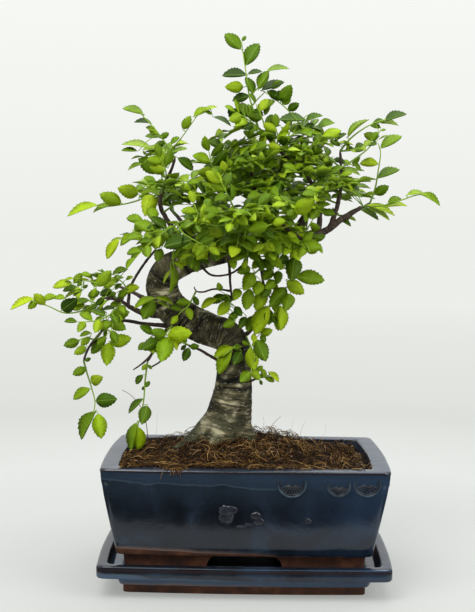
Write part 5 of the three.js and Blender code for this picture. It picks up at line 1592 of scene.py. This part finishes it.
def leafShown(row, paths, chance):
    # the blade that fills this place in the picture: rolled where it looks narrow, tipped to the eye
    # where it looks broad for its length. It stands as deep as the stem that is nearest to it
    across, down, tipAcross, tipDown, breadth = row[:5]
    stems = [pathPoint(path, spot / 24) for path in paths for spot in range(25)]
    stem = min(stems, key=lambda point: (seen(across, down, point.y) - point).length)
    foot = seen(across, down, stem.y)
    gap = (foot - stem).length
    foot = seen(across, down, stem.y + chance.uniform(-0.4, 0.4) * gap)
    line = seen(tipAcross, tipDown, foot.y) - foot
    way = line.normalized()
    toEye = (eye["place"] - foot).normalized()
    toEye = (toEye - way * toEye.dot(way)).normalized()
    breadth *= shoot["shownBroad"]
    full = leaf["widthShare"]
    tip = math.acos(min(full / breadth, 1))
    roll = math.acos(min(breadth / full, 1))
    axis = way * math.cos(tip) + toEye * math.sin(tip)
    normal = toEye * math.cos(tip) - way * math.sin(tip)
    side = axis.cross(normal)
    if side.z * roll < 0:
        roll = -roll
    normal = normal * math.cos(roll) + side * math.sin(roll)
    length = line.length * max(breadth / full, 1) * shoot["shownLong"]
    return {"root": foot - axis * (leaf["stalk"] * length), "stem": stem, "gap": gap, "order": 0.6,
            "axis": axis, "side": axis.cross(normal).normalized(), "normal": normal, "length": length,
            "young": row[5] if len(row) > 5 else None}


def inCrown(point, start):
    away = point - crown["middle"]
    past = max(math.hypot(*(part / reach for part, reach in zip(away, crown["reach"]))), 1)
    return start + (point - start) / past


def fillShoots(path, share, lean, rise, plan=fill):
    # a main shoot that leans its own way, and two side shoots; one that droops shows its upper faces
    foot = pathPoint(path, share)
    onward = Matrix.Rotation(math.radians(lean), 3, "Z") @ Vector((1, 0, 0))
    heading = Vector((onward.x, onward.y, rise)).normalized()
    end = inCrown(foot + heading * plan["length"], foot)
    bow = Vector((0, 0, plan["bow"]))
    face = facing["raised"] if rise < 0 else (onward.x * 0.35, onward.y * 0.35 - plan["toEye"], 1)
    shoots = [{"points": [foot, foot.lerp(end, 0.5) + bow, end], "leaves": plan["leaves"],
               "size": plan["size"], "face": face, "bare": plan["bare"], "tilt": plan["tilt"]}]
    for side, start in plan["sides"]:
        begin = foot.lerp(end, start)
        up, _ = squareTo(heading, face)
        way = Matrix.Rotation(-side * math.radians(plan["sideTurn"]), 3, up) @ heading
        tip = inCrown(begin + way * plan["sideLength"], begin)
        shoots.append({"points": [begin.lerp(tip, 0.5) + bow, tip], "from": start, "face": face,
                       "leaves": plan["sideLeaves"], "size": plan["sideSize"], "tilt": plan["tilt"]})
    return shoots


def shownShoots(rows):
    shoots = []
    for start, path, *look in rows:
        item = {"from": start, "points": [seen(*place) for place in path]}
        item.update(zip(("leaves", "size", "face", "bare", "tilt"), look))
        if look:
            item["face"] = facing[item["face"]]
        shoots.append(item)
    return shoots


def woodSamples():
    path, _, _ = rowPath(trunk["line"], trunk["buriedZ"])
    samples = [pathPoint(path, step / 160) for step in range(20, 161)]
    for rows in branches.values():
        path, _, _ = rowPath(rows)
        samples += [pathPoint(path, step / 24) for step in range(25)]
    return samples


def seat(name, shoots, samples):
    # the root leaves the wood where the solid's own stem does
    main = shoots[0]
    root = main["points"][0]
    carrier = min(samples, key=lambda sample: (sample - root).length)
    near = (carrier - root).length < shoot["seatReach"]
    onward = main["points"][1:] if near else main["points"]
    way = (onward[0] - carrier).normalized()
    out = shoot["firstOut"]
    if name:
        spots = [vert.co / mm for vert in bpy.data.objects["spray_" + name].data.vertices]
        spots.sort(key=lambda spot: (spot - carrier).length)
        foot = sum(spots[:3], Vector()) / 3
        out += shoot["outStep"] * max(round(((foot - carrier).length - out) / shoot["outStep"]), 0)
    far = [point for point in onward[:-1] if (point - carrier).length > out + shoot["straight"]]
    main["points"] = [carrier + way * out] + far + [onward[-1]]
    return carrier


def layShoots(shoots, chance):
    main = shoots[0]
    main["path"] = smoothPath(main["points"])
    for side in shoots[1:]:
        side["path"] = smoothPath([pathPoint(main["path"], side["from"])] + side["points"])
    for item in shoots:
        if "leaves" in item:
            item["blades"] = leavesOf(item, chance)


def addLeaves(heap, shapes, item, young, chance):
    for spot in item["blades"]:
        root = spot["root"] if "root" in spot else pathPoint(item["path"], spot["share"])
        size = "small"
        if spot["length"] > leaf["middleFrom"]:
            size = "large" if spot["length"] > leaf["largeFrom"] else "middle"
        shape = shapes[size]
        curl = chance.uniform(0.75, 1.5)
        start = len(heap["points"])
        own = spot.get("young")
        tone = chance.random() * min(1 + young, 1)  # below nought it's how dark the whole spray is
        bright = (young if own is None else own) + 0.3 * (spot["order"] - 0.55) + chance.gauss(0, 0.10)
        bright = clamp(bright)
        for place in shape["spots"]:
            step = spot["side"] * place.x + spot["axis"] * place.y + spot["normal"] * (place.z * curl)
            heap["points"].append(root + step * spot["length"])
        heap["places"] += [(0, 0, 0)] * len(shape["spots"])
        heap["tones"] += [tone] * len(shape["spots"])
        heap["young"] += [bright] * len(shape["spots"])
        heap["faces"] += [tuple(start + corner for corner in face) for face in shape["faces"]]
        heap["slots"] += [0] * len(shape["faces"])
        heap["under"] += shape["under"]
        heap["uvs"] += shape["uvs"]


def padStems(heap):
    # the stems' own share of what only the blades need
    fresh = heap["faces"][len(heap["under"]):]
    heap["uvs"] += [(0.5, 0.0)] * sum(len(face) for face in fresh)
    heap["under"] += [0.0] * len(fresh)
    heap["young"] += [0.0] * (len(heap["points"]) - len(heap["young"]))


def addStem(heap, path, start, radii):
    count = max(3, round(path["length"] / shoot["stemStep"]))
    shares = [step / count for step in range(count + 1)]
    points = ([start] if start else []) + [pathPoint(path, share) for share in shares]
    tones = ([0.0] if start else []) + [share ** 0.7 for share in shares]
    widths = ([radii[0]] if start else []) + [mixed(*radii, share) for share in shares]
    addTube(heap, points, widths, shoot["stemSides"], tones, 1)
    padStems(heap)


def placeLeaves(heap, shapes, rows, paths, young, chance):
    # leaves at their own places in the picture, each on a thin stalk where it stands off the stem
    blades = [leafShown(row, paths, chance) for row in rows]
    addLeaves(heap, shapes, {"blades": blades}, young, chance)
    for blade in blades:
        if blade["gap"] > shoot["leafStalkFrom"]:
            middle = blade["stem"].lerp(blade["root"], 0.5) + Vector((0, 0, 0.1 * blade["gap"]))
            addStem(heap, smoothPath([blade["stem"], middle, blade["root"]]), None, shoot["leafStalk"])


def growSpray(heap, shapes, name, shoots, samples, seed, young, chance):
    carrier = seat(name, shoots, samples)
    layShoots(shoots, seeded(seed))
    for index, item in enumerate(shoots):
        radii = shoot["sideRadius" if index else "stemRadius"]
        addStem(heap, item["path"], None if index else carrier, radii)
        if name not in shownLeaves:
            addLeaves(heap, shapes, item, young, chance)
    if name in shownLeaves:
        placeLeaves(heap, shapes, shownLeaves[name], [item["path"] for item in shoots], young, chance)


def leafyPiece(name, heap, *materials):
    piece = heapPiece(name, heap)
    keepValues(piece, "young", heap["young"])
    keepValues(piece, "under", heap["under"], "FACE")
    uv = piece.data.uv_layers.new(name="UVMap")
    uv.data.foreach_set("uv", [part for pair in heap["uvs"] for part in pair])
    dress(piece, "leaf", *materials)
    return piece


def newLeafHeap():
    heap = newHeap()
    heap.update({"young": [], "under": [], "uvs": []})
    return heap


def bladeShape(size):
    blade = modelBlade(size)
    mesh = blade.data
    shape = {
        "spots": [vert.co.copy() for vert in mesh.vertices],
        "faces": [tuple(face.vertices) for face in mesh.polygons],
        "uvs": [tuple(item.uv) for item in mesh.uv_layers.active.data],
        "under": [item.value for item in mesh.attributes["under"].data],
    }
    bpy.data.objects.remove(blade)
    return shape


leafLook = {
    "grown": [(0.0, (0.016, 0.046, 0.001)), (0.3, (0.048, 0.112, 0.001)), (0.65, (0.128, 0.238, 0.003)),
              (1.0, (0.270, 0.400, 0.008))],
    "fresh": [(0.0, (0.200, 0.350, 0.003)), (0.5, (0.330, 0.490, 0.005)), (1.0, (0.480, 0.610, 0.010))],
    "blotchScale": 190, "blotch": [(0.35, 0.84), (0.65, 1.08)],
    # side veins along the blade, their slant, and both kinds' soft edges and shares of the pale colour
    "veins": 9.5, "veinSlant": 6.0, "veinEdge": (0.11, 0.02), "veinShare": 0.28, "veinDepth": -0.6,
    "midribEdge": (0.035, 0.012), "midribShare": 0.75, "midribDepth": -1.0, "paleVein": (0.30, 0.46, 0.06),
    "below": (0.190, 0.300, 0.020), "rough": (0.42, 0.65), "specular": 0.26, "ior": 1.32,
    "bump": (0.55, 0.0005),
    "stem": [(0.0, (0.060, 0.036, 0.022)), (0.18, (0.120, 0.085, 0.035)), (0.45, (0.260, 0.290, 0.070)),
             (1.0, (0.340, 0.450, 0.095))],
    "stemCloud": (420, (0.35, 0.75), (0.6, 1.0)), "stemRough": 0.5,
}


def leafMaterial():
    # midrib and side veins by the blade's own coordinates, hue by the leaf's age and chance;
    # the age is partly painted light, brightening leaves that hang in shade
    material = startMaterial("zelkovaLeaf")
    across, along, _ = addNode("SeparateXYZ", {0: addNode("UVMap", {}).outputs["UV"]}).outputs
    out = maths("ABSOLUTE", minus(across, 0.5))
    tone = attribute("tone")
    under = attribute("under")
    place, _ = objectPlace()
    # younger is fresher and brighter: partly painted light on the leaves hanging under the crown
    colour = mixColour(attribute("young"), ramp(tone, *leafLook["grown"]), ramp(tone, *leafLook["fresh"]))
    blotch = ramp(grain(place, leafLook["blotchScale"], detail=3), *leafLook["blotch"])
    colour = mixColour(1.0, colour, blotch, "MULTIPLY")
    slant = minus(times(along, leafLook["veins"]), times(out, leafLook["veinSlant"]))
    vein = rangeMap(maths("PINGPONG", slant, 0.5), *leafLook["veinEdge"])
    midrib = rangeMap(out, *leafLook["midribEdge"])
    paleVein = mixColour(0.5, colour, leafLook["paleVein"])
    colour = mixColour(times(vein, leafLook["veinShare"]), colour, paleVein)
    colour = mixColour(times(midrib, leafLook["midribShare"]), colour, paleVein)
    colour = mixColour(under, colour, mixColour(0.5, colour, leafLook["below"]))
    shade(colour, rough=rangeMap(under, 0.0, 1.0, *leafLook["rough"]), specular=leafLook["specular"],
          ior=leafLook["ior"])
    height = plus(times(vein, leafLook["veinDepth"]), times(midrib, leafLook["midribDepth"]))
    bumpy(height, *leafLook["bump"])
    return material


def makeShoots():
    blade = leafMaterial()
    stem = tonedMaterial("youngStem", leafLook["stem"], leafLook["stemRough"], cloud=leafLook["stemCloud"])
    shapes = {size: bladeShape(size) for size in leaf["teeth"]}
    samples = woodSamples()
    chance = random.Random(shoot["lookSeed"])
    seeds = itertools.count(shoot["leafSeed"])

    def grow(heap, name, shoots, young=shoot["fillYoung"]):
        growSpray(heap, shapes, name, shoots, samples, next(seeds), young, chance)

    def makeSpray(name, shoots, young=shoot["fillYoung"]):
        heap = newLeafHeap()
        grow(heap, name, shoots, young)
        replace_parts(leafyPiece("leaves_" + name, heap, blade, stem), "spray_" + name)

    for name, rows in sprays.items():
        makeSpray(name, shownShoots(rows), shoot["young"].get(name, shoot["usualYoung"]))
    for branch, outlets in fillOutlets.items():
        path, _, _ = rowPath(branches[branch])
        for order, outlet in enumerate(outlets):
            makeSpray(branch + "Fill" + str(order + 1), fillShoots(path, *outlet))
    for branch, outlets in moreShoots.items():
        path, _, _ = rowPath(branches[branch])
        heap = newLeafHeap()
        for outlet in outlets:
            grow(heap, None, fillShoots(path, *outlet, moreFill))
        leafyPiece("crown_" + branch, heap, blade, stem)
    heap = newLeafHeap()
    paths = []
    for row in crownShoots:
        grown = shownShoots([(0, *row, leaf["bare"], moreFill["tilt"])])
        grow(heap, None, grown)
        paths.append(grown[0]["path"])
    placeLeaves(heap, shapes, shownLeaves["top"], paths, shoot["fillYoung"], chance)
    leafyPiece("crown_top", heap, blade, stem)
    return next(seeds) - shoot["leafSeed"]


def dressDrainMesh():
    material = startMaterial("meshPlastic")
    shade((0.010, 0.012, 0.010), rough=0.55)
    for side in ("left", "right"):
        node = bpy.data.objects["drain_mesh_" + side]
        node.data.materials.clear()
        node.data.materials.append(material)


makeSoilBed()
makeCrumbs()
makeFibres()
makeStalks()
print("soil laid")
bark = barkMaterial()
makeTrunk(bark)
makeBranches(bark)
print("wood grown")
print("leafy shoots:", makeShoots())
dressDrainMesh()
